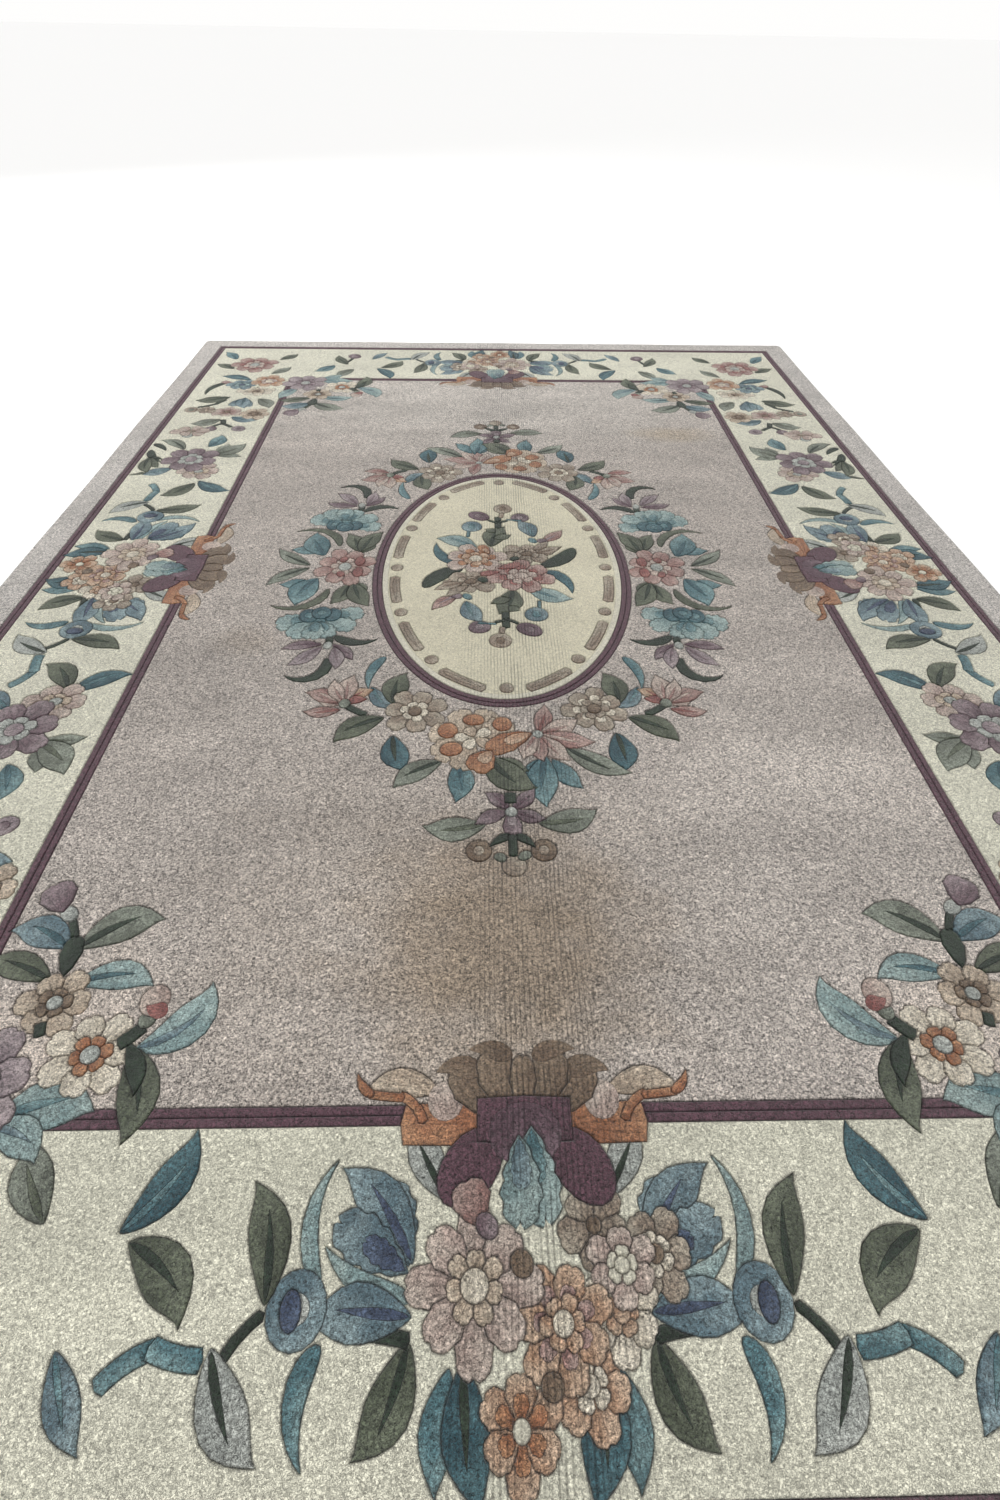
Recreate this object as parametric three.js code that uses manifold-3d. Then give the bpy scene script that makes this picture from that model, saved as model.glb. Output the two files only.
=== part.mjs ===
// A floral carved-pile carpet in the Tibetan and Chinese manner, lying flat.
// Millimetres, +Z up, +X across, +Y along. The origin is the middle of the underside.
// The whole carpet is one slab of knotted pile. Each outline of its pattern is a V-shaped
// groove, clipped into the pile round a motif, so the motifs stand out in low relief.

import * as THREE from 'three';
import { mergeGeometries, mergeVertices } from 'three/addons/utils/BufferGeometryUtils.js';
import Module from 'manifold-3d';

// Driving dimensions
const WIDTH = 2440;
const LENGTH = 3460;
const THICKNESS = 13;
const EDGE_ROUNDING = 4;
const EDGE_WANDER = 3;
const CORNER_RADIUS = 12;

const CARVE_DEPTH = 3;
const CARVE_WIDTH = 5;
const WALL_OVERLAP = 0.05;
const CUT_OVERSHOOT = 1;
const MERGE_TOLERANCE = 0.3;

const GUARD_WIDTH = 24;
const INNER_GUARD = { halfX: 778, halfY: 1290 };
const OUTER_GUARD = { halfX: 1130, halfY: 1642 };

const MEDALLION = { x: -6, y: -14, radiusX: 310, radiusY: 507, steps: 24 };
const PALE_LINE_WIDTH = 14;
const BEADS = { inset: 46, count: 12, dot: 30, bar: 24, barLength: 116 };
const BEAD_OVAL_DIVISIONS = 720;

const BORDER_CENTRE_Y = -20;
const END_SHIFT = INNER_GUARD.halfY - INNER_GUARD.halfX;

const LOBE_SHARE = 0.2;
const STEPS_PER_LOBE = 3;
const EDGE_STATIONS = { long: 12, short: 8 };

const COLOUR = 0xb3a39f;

// Half-width of a motif along its midrib, as a share of its full half-width.
const PROFILES = {
  leaf: (t) => Math.sin(Math.PI * t ** 0.85),
  petal: (t) => Math.sin(Math.PI * t ** 1.5) ** 0.8,
  hook: (t) => Math.sin(Math.PI * t ** 0.7) ** 0.8,
  round: (t) => 2 * Math.sqrt(t * (1 - t)),
};
const MIDRIB_STEPS = { leaf: 3, petal: 3, hook: 4, round: 3 };

// Turns rows of values into objects whose keys are the column names.
function table(columns, rows) {
  return rows.map((row) => Object.fromEntries(columns.map((name, i) => [name, row[i]])));
}

const MOTIF_COLUMNS = ['form', 'x', 'y', 'tipX', 'tipY', 'width', 'bend'];
const FLOWER_COLUMNS = ['x', 'y', 'radiusX', 'radiusY', 'lobes', 'heart'];

// Half of the bouquet in the medallion, from the medallion's centre. The other half is
// the same, turned half a turn.
const BOUQUET = table(MOTIF_COLUMNS, [
  ['leaf', 66, -88, 152, -150, 50, 18],
  ['leaf', -82, -148, -50, -226, 50, 15],
  ['leaf', -94, -8, -178, -82, 46, -35],
  ['round', 40, -248, 82, -274, 44, 0],
  ['petal', 0, -216, -8, -326, 46, 0],
  ['petal', 22, -20, 52, -116, 92, 0],
]);

// A quarter of the wreath round the medallion, from its centre.
const WREATH = table(MOTIF_COLUMNS, [
  ['leaf', 478, -48, 505, -154, 84, 0],
  ['leaf', 392, -298, 484, -314, 34, 0],
  ['leaf', 392, -298, 458, -385, 38, 0],
  ['hook', 388, -351, 463, -408, 26, 170],
  ['petal', 322, -501, 350, -411, 90, 0],
  ['leaf', 244, -545, 342, -602, 50, -20],
]);
const WREATH_FLOWERS = table(FLOWER_COLUMNS, [[415, -228, 84, 54, 5, 0]]);

// Each side of the wreath has one open flower at its middle, with a pair of leaves.
const SIDE_FLOWERS = table(FLOWER_COLUMNS, [[400, 0, 74, 80, 5, 26]]);
const SIDE_LEAVES = table(MOTIF_COLUMNS, [
  ['leaf', 478, 4, 578, 78, 36, 12],
  ['leaf', 478, -10, 578, -88, 36, -12],
]);

// The cluster below the medallion. The one above it is the same, turned half a turn.
const CLUSTER = table(MOTIF_COLUMNS, [
  ['leaf', 220, -595, 209, -695, 52, 0],
  ['leaf', -220, -595, -209, -695, 52, 0],
  ['leaf', -10, -665, 0, -760, 64, 0],
  ['leaf', -44, -818, -144, -826, 48, -12],
  ['leaf', 56, -811, 156, -798, 50, 20],
]);
const CLUSTER_FLOWERS = table(FLOWER_COLUMNS, [
  [-179, -531, 58, 62, 5, 0],
  [178, -531, 58, 62, 5, 0],
  [76, -595, 76, 66, 5, 0],
  [-66, -603, 72, 68, 5, 0],
]);

// The vessel of flowers at the middle of each border, drawn on the right-hand one.
const VESSEL = table(MOTIF_COLUMNS, [
  ['leaf', 1018, 72, 1118, 66, 52, 0],
  ['leaf', 1018, -72, 1118, -66, 52, 0],
  ['leaf', 800, 62, 752, 150, 44, 0],
  ['leaf', 800, -62, 752, -150, 44, 0],
  ['round', 752, 0, 868, 0, 176, 0],
]);
const VESSEL_FLOWERS = table(FLOWER_COLUMNS, [
  [718, 0, 52, 98, 6, 0],
  [960, 0, 66, 84, 5, 0],
]);

// Half of the foliage beside a vessel, drawn on the lower half of the right-hand border.
const FOLIAGE = table(MOTIF_COLUMNS, [
  ['leaf', 925, -150, 828, -205, 66, 0],
]);

// What follows on the long borders, up to the corner and round it.
const LONG_BORDER = table(MOTIF_COLUMNS, [
  ['leaf', 893, -475, 800, -402, 42, 30],
  ['leaf', 980, -1120, 1090, -1080, 60, 0],
]);
const LONG_BORDER_FLOWERS = table(FLOWER_COLUMNS, [
  [962, -590, 84, 90, 5, 0],
  [1016, -792, 54, 44, 5, 0],
]);

// A quarter of the sprays that reach into the field from its corners.
const CORNER = table(MOTIF_COLUMNS, [
  ['leaf', 662, -1062, 560, -995, 52, -25],
  ['leaf', 502, -1204, 422, -1118, 54, -25],
  ['leaf', 536, -1196, 470, -1312, 52, 20],
]);
const CORNER_FLOWERS = table(FLOWER_COLUMNS, [
  [712, -1272, 74, 66, 5, 0],
  [582, -1208, 64, 54, 5, 0],
]);

// Moves of the pattern's halves and quarters to their other places.
const same = (p) => p;
const mirrorX = (p) => new THREE.Vector2(-p.x, p.y);
const mirrorY = (p) => new THREE.Vector2(p.x, -p.y);
const halfTurn = (p) => new THREE.Vector2(-p.x, -p.y);
const toMedallion = (p) => new THREE.Vector2(p.x + MEDALLION.x, p.y + MEDALLION.y);
const toBorder = (p) => new THREE.Vector2(p.x, p.y + BORDER_CENTRE_Y);
const toEnd = (p) => new THREE.Vector2(p.y, -p.x - END_SHIFT);
const HALVES = [same, halfTurn];
const QUARTERS = [same, mirrorX, mirrorY, halfTurn];

// A motif's closed outline: both sides of a midrib that runs from its foot to its tip,
// as an arc that turns through the motif's bend.
function motifOutline({ form, x, y, tipX, tipY, width, bend }) {
  const chord = new THREE.Vector2(tipX - x, tipY - y);
  const steps = MIDRIB_STEPS[form];
  const turn = THREE.MathUtils.degToRad(bend);
  const radius = turn === 0 ? 0 : chord.length() / (2 * Math.sin(turn / 2));
  const origin = new THREE.Vector2();
  const point = (t, side) => {
    const angle = turn * (t - 0.5);
    const along = turn === 0 ? chord.length() * t : chord.length() / 2 + radius * Math.sin(angle);
    const sag = radius * (Math.cos(turn / 2) - Math.cos(angle));
    const reach = side * (width / 2) * PROFILES[form](t);
    const local = new THREE.Vector2(along - reach * Math.sin(angle), sag + reach * Math.cos(angle));
    return local.rotateAround(origin, chord.angle()).add(new THREE.Vector2(x, y));
  };
  const share = (i) => (form === 'round' ? (1 - Math.cos((Math.PI * i) / steps)) / 2 : i / steps);
  const between = Array.from({ length: steps - 1 }, (_, i) => share(i + 1));
  return [
    point(0, 0),
    ...between.map((t) => point(t, -1)),
    point(1, 0),
    ...between.reverse().map((t) => point(t, 1)),
  ];
}

// An oval of so many points, whose radii are grown or shrunk by an amount.
function ovalOutline({ x, y, radiusX, radiusY, steps }, growth = 0) {
  return Array.from({ length: steps }, (_, i) => {
    const angle = (2 * Math.PI * i) / steps;
    const reachX = (radiusX + growth) * Math.cos(angle);
    const reachY = (radiusY + growth) * Math.sin(angle);
    return new THREE.Vector2(x + reachX, y + reachY);
  });
}

// A flower's outline: an oval that is drawn in between each two petals.
function flowerOutline({ x, y, radiusX, radiusY, lobes }) {
  const centre = new THREE.Vector2(x, y);
  const steps = lobes * STEPS_PER_LOBE;
  return ovalOutline({ x, y, radiusX, radiusY, steps }).map((point, i) => (
    i % STEPS_PER_LOBE === 0 ? point.lerp(centre, LOBE_SHARE) : point
  ));
}

function flowerOutlines(flower) {
  const { x, y, heart } = flower;
  if (heart === 0) {
    return [flowerOutline(flower)];
  }
  const middle = { form: 'round', x: x - heart, y, tipX: x + heart, tipY: y, width: 2 * heart, bend: 0 };
  return [flowerOutline(flower), motifOutline(middle)];
}

function guardOutline({ halfX, halfY }, growth) {
  const corners = [[1, -1], [1, 1], [-1, 1], [-1, -1]];
  return corners.map(([x, y]) => (
    new THREE.Vector2(x * (halfX + growth), y * (halfY + growth))
  ));
}

// The carpet's own outline, whose edges wander a little, as hand-made ones do.
function edgeOutline() {
  const wander = (share) => (EDGE_WANDER * (Math.cos(share * Math.PI * 4) - 1)) / 2;
  const halfX = WIDTH / 2 - EDGE_ROUNDING;
  const halfY = LENGTH / 2 - EDGE_ROUNDING;
  const points = [];
  for (let i = 0; i <= EDGE_STATIONS.long; i += 1) {
    const share = (2 * i) / EDGE_STATIONS.long - 1;
    points.push(new THREE.Vector2(halfX + wander(share), share * (halfY - CORNER_RADIUS)));
  }
  for (let i = 0; i <= EDGE_STATIONS.short; i += 1) {
    const share = 1 - (2 * i) / EDGE_STATIONS.short;
    points.push(new THREE.Vector2(share * (halfX - CORNER_RADIUS), halfY + wander(share)));
  }
  return [...points, ...points.map(halfTurn)];
}

// Beads of dots and bars, spaced evenly along an oval inside the medallion's ring.
function beadOutlines() {
  const radiusX = MEDALLION.radiusX - BEADS.inset;
  const radiusY = MEDALLION.radiusY - BEADS.inset;
  const oval = new THREE.EllipseCurve(MEDALLION.x, MEDALLION.y, radiusX, radiusY);
  oval.arcLengthDivisions = BEAD_OVAL_DIVISIONS;
  const dot = { length: BEADS.dot, width: BEADS.dot };
  const bar = { length: BEADS.barLength, width: BEADS.bar };
  return Array.from({ length: 2 * BEADS.count }, (_, i) => {
    const { length, width } = i % 2 === 0 ? dot : bar;
    const share = i / (2 * BEADS.count);
    const half = oval.getTangentAt(share).multiplyScalar(length / 2);
    const foot = oval.getPointAt(share).sub(half);
    const tip = oval.getPointAt(share).add(half);
    const ends = { x: foot.x, y: foot.y, tipX: tip.x, tipY: tip.y };
    return motifOutline({ form: 'round', ...ends, width, bend: 0 });
  });
}

// The pattern as layers to carve, from the outermost in and from the back to the front.
// A layer is a list of outlines that lie apart: the copies of one motif.
function patternLayers() {
  const guards = [OUTER_GUARD, INNER_GUARD].flatMap((guard) => (
    [GUARD_WIDTH / 2, -GUARD_WIDTH / 2].map((growth) => [guardOutline(guard, growth)])
  ));
  const ring = [GUARD_WIDTH / 2, -GUARD_WIDTH / 2, -GUARD_WIDTH / 2 - PALE_LINE_WIDTH]
    .map((growth) => [ovalOutline(MEDALLION, growth)]);

  const copies = (outlines, moves) => (
    outlines.map((outline) => moves.map((move) => outline.map(move)))
  );
  const shapes = (motifs, flowers = []) => [
    ...motifs.map(motifOutline),
    ...flowers.flatMap(flowerOutlines),
  ];
  const onMedallion = (moves) => moves.map((move) => (p) => toMedallion(move(p)));
  const onBorder = (moves) => moves.map((move) => (p) => toBorder(move(p)));
  const onEnds = (moves) => moves.map((move) => (p) => move(toEnd(p)));

  const [shell, ...blooms] = VESSEL_FLOWERS;
  const vessel = [flowerOutline(shell), ...shapes(VESSEL, blooms)];
  return [
    ...guards,
    ...ring,
    beadOutlines(),
    ...copies(shapes(BOUQUET), onMedallion(HALVES)),
    ...copies(shapes(SIDE_LEAVES, SIDE_FLOWERS), onMedallion(HALVES)),
    ...copies(shapes(WREATH, WREATH_FLOWERS), onMedallion(QUARTERS)),
    ...copies(shapes(CLUSTER, CLUSTER_FLOWERS), onMedallion(HALVES)),
    ...copies(shapes(LONG_BORDER, LONG_BORDER_FLOWERS), QUARTERS),
    ...copies(shapes(CORNER, CORNER_FLOWERS), QUARTERS),
    ...copies(shapes(FOLIAGE), [...onBorder(QUARTERS), ...onEnds(QUARTERS)]),
    ...copies(vessel, [...onBorder(HALVES), ...onEnds(HALVES)]),
  ];
}

const wasm = await Module();
wasm.setup();

function toSolid(geometry) {
  geometry.deleteAttribute('normal');
  geometry.deleteAttribute('uv');
  const merged = mergeVertices(geometry);
  return new wasm.Manifold(new wasm.Mesh({
    numProp: 3,
    vertProperties: merged.attributes.position.array,
    triVerts: Uint32Array.from(merged.index.array),
  }));
}

function toGeometry(solid) {
  const mesh = solid.getMesh();
  const geometry = new THREE.BufferGeometry();
  geometry.setAttribute('position', new THREE.BufferAttribute(mesh.vertProperties, 3));
  geometry.setIndex(new THREE.BufferAttribute(mesh.triVerts, 1));
  geometry.computeVertexNormals();
  return geometry;
}

function counterClockwise(points) {
  return THREE.ShapeUtils.isClockWise(points) ? points.slice().reverse() : points;
}

// The pit takes the pile away inside an outline, down to the carving's depth. The pad
// puts it back with walls that lean in, which leaves a V-shaped groove on the outline.
function pit(points) {
  const geometry = new THREE.ExtrudeGeometry(new THREE.Shape(counterClockwise(points)), {
    depth: CUT_OVERSHOOT,
    bevelThickness: CARVE_DEPTH,
    bevelSize: CARVE_WIDTH / 2,
    bevelSegments: 1,
  });
  return geometry.translate(0, 0, THICKNESS);
}

function pad(points) {
  const geometry = new THREE.ExtrudeGeometry(new THREE.Shape(counterClockwise(points)), {
    depth: CUT_OVERSHOOT,
    bevelThickness: CARVE_DEPTH,
    bevelSize: CARVE_WIDTH / 2 + WALL_OVERLAP,
    bevelOffset: -CARVE_WIDTH / 2,
    bevelSegments: 1,
  });
  return geometry.translate(0, 0, THICKNESS - CARVE_DEPTH - CUT_OVERSHOOT);
}

function slab() {
  const geometry = new THREE.ExtrudeGeometry(new THREE.Shape(counterClockwise(edgeOutline())), {
    depth: THICKNESS - 2 * EDGE_ROUNDING,
    bevelThickness: EDGE_ROUNDING,
    bevelSize: EDGE_ROUNDING,
    bevelSegments: 2,
  });
  return toSolid(geometry.translate(0, 0, EDGE_ROUNDING));
}

function carvedCarpet() {
  let carpet = slab();
  for (const outlines of patternLayers()) {
    const sunk = carpet.subtract(toSolid(mergeGeometries(outlines.map(pit))));
    const carved = sunk.add(toSolid(mergeGeometries(outlines.map(pad))));
    const tidied = carved.asOriginal().simplify(MERGE_TOLERANCE);
    [sunk, carved, carpet].forEach((solid) => solid.delete());
    carpet = tidied;
  }
  return toGeometry(carpet);
}

const wool = new THREE.MeshStandardMaterial({ color: COLOUR, roughness: 0.95, metalness: 0 });
const rug = new THREE.Mesh(carvedCarpet(), wool);
rug.name = 'rug';

const carpetGroup = new THREE.Group();
carpetGroup.add(rug);

export default carpetGroup;
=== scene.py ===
"""A hand-knotted wool pile rug with an oval flower medallion, lying flat, carved round each motif.

The rug is built as it is made: a woven cotton foundation, and blocks of cut pile on it, one
for each area of one yarn. The blocks' rims are clipped, which leaves a groove between areas.
The pattern is drawn in millimetres, and its meshes are made in metres.
"""

import logging
import math
from dataclasses import dataclass, field, replace
from enum import Enum, unique

import bmesh
import bpy
import numpy as np
from mathutils import Matrix, Vector


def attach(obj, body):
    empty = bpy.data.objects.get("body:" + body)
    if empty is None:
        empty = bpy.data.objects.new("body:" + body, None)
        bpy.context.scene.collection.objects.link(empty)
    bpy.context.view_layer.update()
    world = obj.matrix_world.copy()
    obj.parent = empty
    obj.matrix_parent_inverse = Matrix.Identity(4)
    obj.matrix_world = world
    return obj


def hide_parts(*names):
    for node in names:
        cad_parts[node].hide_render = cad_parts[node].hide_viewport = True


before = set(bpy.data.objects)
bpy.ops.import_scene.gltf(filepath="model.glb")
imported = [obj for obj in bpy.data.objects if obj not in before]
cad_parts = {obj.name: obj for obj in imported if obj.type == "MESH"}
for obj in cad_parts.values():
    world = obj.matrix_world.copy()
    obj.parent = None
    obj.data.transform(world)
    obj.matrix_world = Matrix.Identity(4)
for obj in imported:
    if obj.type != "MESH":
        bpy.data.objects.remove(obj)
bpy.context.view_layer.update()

LOG = logging.getLogger("rug")
MM = 0.001

WIDTH = 2440.0
LENGTH = 3460.0
PILE_TOP = 13.0
FOUNDATION_TOP = 3.0
EDGE_WANDER = 3.0
EDGE_CORNER = 12.0
GROOVE_DEPTH = 3.0
GROOVE_HALF = 2.1
SOFT_CARVE = 0.3
GUARD_WIDTH = 24.0
INNER_GUARD = (778.0, 1290.0)
OUTER_GUARD = (1130.0, 1642.0)
MEDALLION = (-6.0, -14.0)
RING = (310.0, 507.0)
RING_WIDTH = 24.0
PALE_LINE_WIDTH = 14.0
BORDER_CENTRE_Y = -20.0
END_SHIFT = INNER_GUARD[1] - INNER_GUARD[0]

ZERO_TO_ONE = (0.0, 1.0)
ONE_TO_ZERO = (1.0, 0.0)

Colour = tuple[float, float, float]
Triple = tuple[float, float, float]
Range = tuple[float, float]
Disc = tuple[float, float, float]
Box = tuple[float, float, float, float]
Socket = bpy.types.NodeSocket


class Slot(Enum):
    """The record's material slots."""

    FIELD = "field_wool"
    CREAM = "cream_wool"
    PLUM = "plum_wool"
    LEAF = "leaf_wool"
    BLOSSOM = "blossom_wool"
    FOUNDATION = "foundation_cotton"


@dataclass(frozen=True)
class YarnFinish:
    """One dyed yarn: its colours in sRGB steps, the slot it belongs to, how it has aged, and how much
    it shows of the stains and of the pale patches of painted light.

    The second colour is that of the tufts towards a motif's tip or on its lit side.
    """

    colour: Colour
    slot: Slot
    second: Colour | None = None
    fleck: float = 0.44
    abrash: float = 0.07
    # The share of the stains, and of the pale patches of painted light, that this yarn shows.
    stain_and_light_share: float = 0.0


class Yarn(Enum):
    """The yarns of the rug, by the names a dyer would give them."""

    FIELD = YarnFinish((162, 154, 147), Slot.FIELD, fleck=0.72, abrash=0.16, stain_and_light_share=1.0)
    BAND = YarnFinish((180, 175, 170), Slot.FIELD, fleck=0.54, abrash=0.12)
    CREAM = YarnFinish((211, 209, 191), Slot.CREAM, fleck=0.30, abrash=0.10)
    BUTTER = YarnFinish((213, 207, 183), Slot.CREAM, fleck=0.17, stain_and_light_share=0.3)
    IVORY = YarnFinish((212, 208, 190), Slot.CREAM, fleck=0.16)
    PLUM = YarnFinish((86, 61, 70), Slot.PLUM, fleck=0.55)
    MULBERRY = YarnFinish((90, 68, 77), Slot.BLOSSOM, (112, 92, 100))
    FOREST = YarnFinish((37, 47, 38), Slot.LEAF, (50, 62, 50))
    TEAL = YarnFinish((74, 104, 110), Slot.LEAF, (112, 138, 140))
    DEEP_TEAL = YarnFinish((50, 78, 86), Slot.LEAF, (76, 106, 112))
    SEA = YarnFinish((118, 139, 139), Slot.LEAF, (148, 165, 162))
    BLUE = YarnFinish((86, 106, 114), Slot.LEAF, (128, 146, 150))
    SLATE = YarnFinish((58, 68, 88), Slot.LEAF, (80, 92, 112))
    OLIVE = YarnFinish((74, 80, 66), Slot.LEAF, (98, 104, 88))
    SAGE = YarnFinish((102, 107, 96), Slot.LEAF, (132, 138, 126))
    MIST = YarnFinish((146, 150, 145), Slot.LEAF, (166, 169, 163))
    MAUVE = YarnFinish((102, 84, 90), Slot.BLOSSOM, (134, 120, 123))
    LILAC = YarnFinish((130, 117, 121), Slot.BLOSSOM, (154, 142, 143))
    PINK = YarnFinish((140, 108, 102), Slot.BLOSSOM, (165, 142, 134))
    BLUSH = YarnFinish((162, 144, 135), Slot.BLOSSOM, (184, 170, 159))
    ROSE = YarnFinish((122, 76, 72), Slot.BLOSSOM, (144, 100, 94))
    ORANGE = YarnFinish((142, 96, 70), Slot.BLOSSOM, (166, 124, 94))
    PEACH = YarnFinish((166, 134, 110), Slot.BLOSSOM, (184, 160, 138))
    TAUPE = YarnFinish((136, 122, 108), Slot.BLOSSOM, (160, 150, 135))
    BROWN = YarnFinish((108, 91, 76), Slot.BLOSSOM, (128, 112, 95))
    SAND = YarnFinish((166, 150, 132), Slot.BLOSSOM, (184, 170, 152))
    STRAW = YarnFinish((190, 181, 164), Slot.BLOSSOM, (206, 198, 182))


@dataclass(frozen=True)
class Move:
    """A mirroring or turning of the pattern by whole quarters, and a shift in millimetres."""

    x_from: tuple[int, int] = (1, 0)
    y_from: tuple[int, int] = (0, 1)
    shift: Range = (0.0, 0.0)

    def apply(self, point: Vector) -> Vector:
        """Moves a point.

        Args:
            point: The point.

        Returns:
            The moved point.
        """
        x = self.x_from[0] * point.x + self.x_from[1] * point.y + self.shift[0]
        y = self.y_from[0] * point.x + self.y_from[1] * point.y + self.shift[1]
        return Vector((x, y))

    def mirrors(self) -> bool:
        """Returns whether the move turns left bends into right ones."""
        return self.x_from[0] * self.y_from[1] < self.x_from[1] * self.y_from[0]


SAME = Move()
MIRROR_X = Move((-1, 0), (0, 1))
MIRROR_Y = Move((1, 0), (0, -1))
HALF_TURN = Move((-1, 0), (0, -1))
TO_MEDALLION = Move(shift=MEDALLION)
TO_BORDER = Move(shift=(0.0, BORDER_CENTRE_Y))
TO_END = Move((0, 1), (-1, 0), (0.0, -END_SHIFT))
HALVES = [SAME, HALF_TURN]
QUARTERS = [SAME, MIRROR_X, MIRROR_Y, HALF_TURN]


@dataclass(frozen=True)
class Swell:
    """A half-width that swells from nothing and narrows to nothing.

    A lean below 1 puts the widest place nearer the foot. Higher powers make the ends thinner.
    """

    lean: float
    foot_power: float
    tip_power: float

    def share(self, t: float) -> float:
        """Returns the half-width's share at a place from 0 at the foot to 1 at the tip."""
        power = self.foot_power + (self.tip_power - self.foot_power) * t
        return math.sin(math.pi * t**self.lean) ** power


@dataclass(frozen=True)
class Ruffle:
    """A petal's half-width, with wavy sides and a notch in its round end."""

    notch: float
    depth: float
    wave: float
    widest: float = 0.64
    fullness: float = 0.8
    crest: float = 0.87

    def share(self, t: float) -> float:
        """Works out the half-width as a share of the widest.

        Args:
            t: The place along the midrib, from 0 at the foot to 1 at the tip.

        Returns:
            The share, a little above 1 on a wave.
        """
        if t < self.widest:
            body = math.sin(math.pi / 2.0 * t / self.widest) ** self.fullness
        else:
            body = math.sqrt(1.0 - ((t - self.widest) / (1.0 - self.widest)) ** 2)
        return body * (1.0 + self.depth * math.cos(math.tau * (t - self.crest) / self.wave))


@unique
class Profile(Enum):
    """How an area's half-width changes from its foot to its tip, and the steps it needs."""

    LEAF = 11
    PETAL = 13
    FRILL = 20
    HOOK = 10
    STEM = 7
    VEIN = 6
    ROUND = 8

    def share(self, t: float) -> float:
        """Works out the half-width as a share of the widest.

        Args:
            t: The place along the midrib, from 0 at the foot to 1 at the tip.

        Returns:
            The share.
        """
        shape = SWELLS.get(self) or RUFFLES.get(self)
        if shape is not None:
            return shape.share(t)
        bluntness = 5.0 if self is Profile.STEM else 2.0
        return min(1.0, bluntness * math.sqrt(t * (1.0 - t)))


SWELLS = {
    Profile.LEAF: Swell(1.05, 0.7, 1.2),
    Profile.HOOK: Swell(0.62, 0.85, 0.85),
    Profile.VEIN: Swell(0.7, 1.0, 1.0),
}
RUFFLES = {
    Profile.PETAL: Ruffle(notch=0.06, depth=0.07, wave=0.33),
    Profile.FRILL: Ruffle(notch=0.09, depth=0.12, wave=0.24),
}


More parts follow.
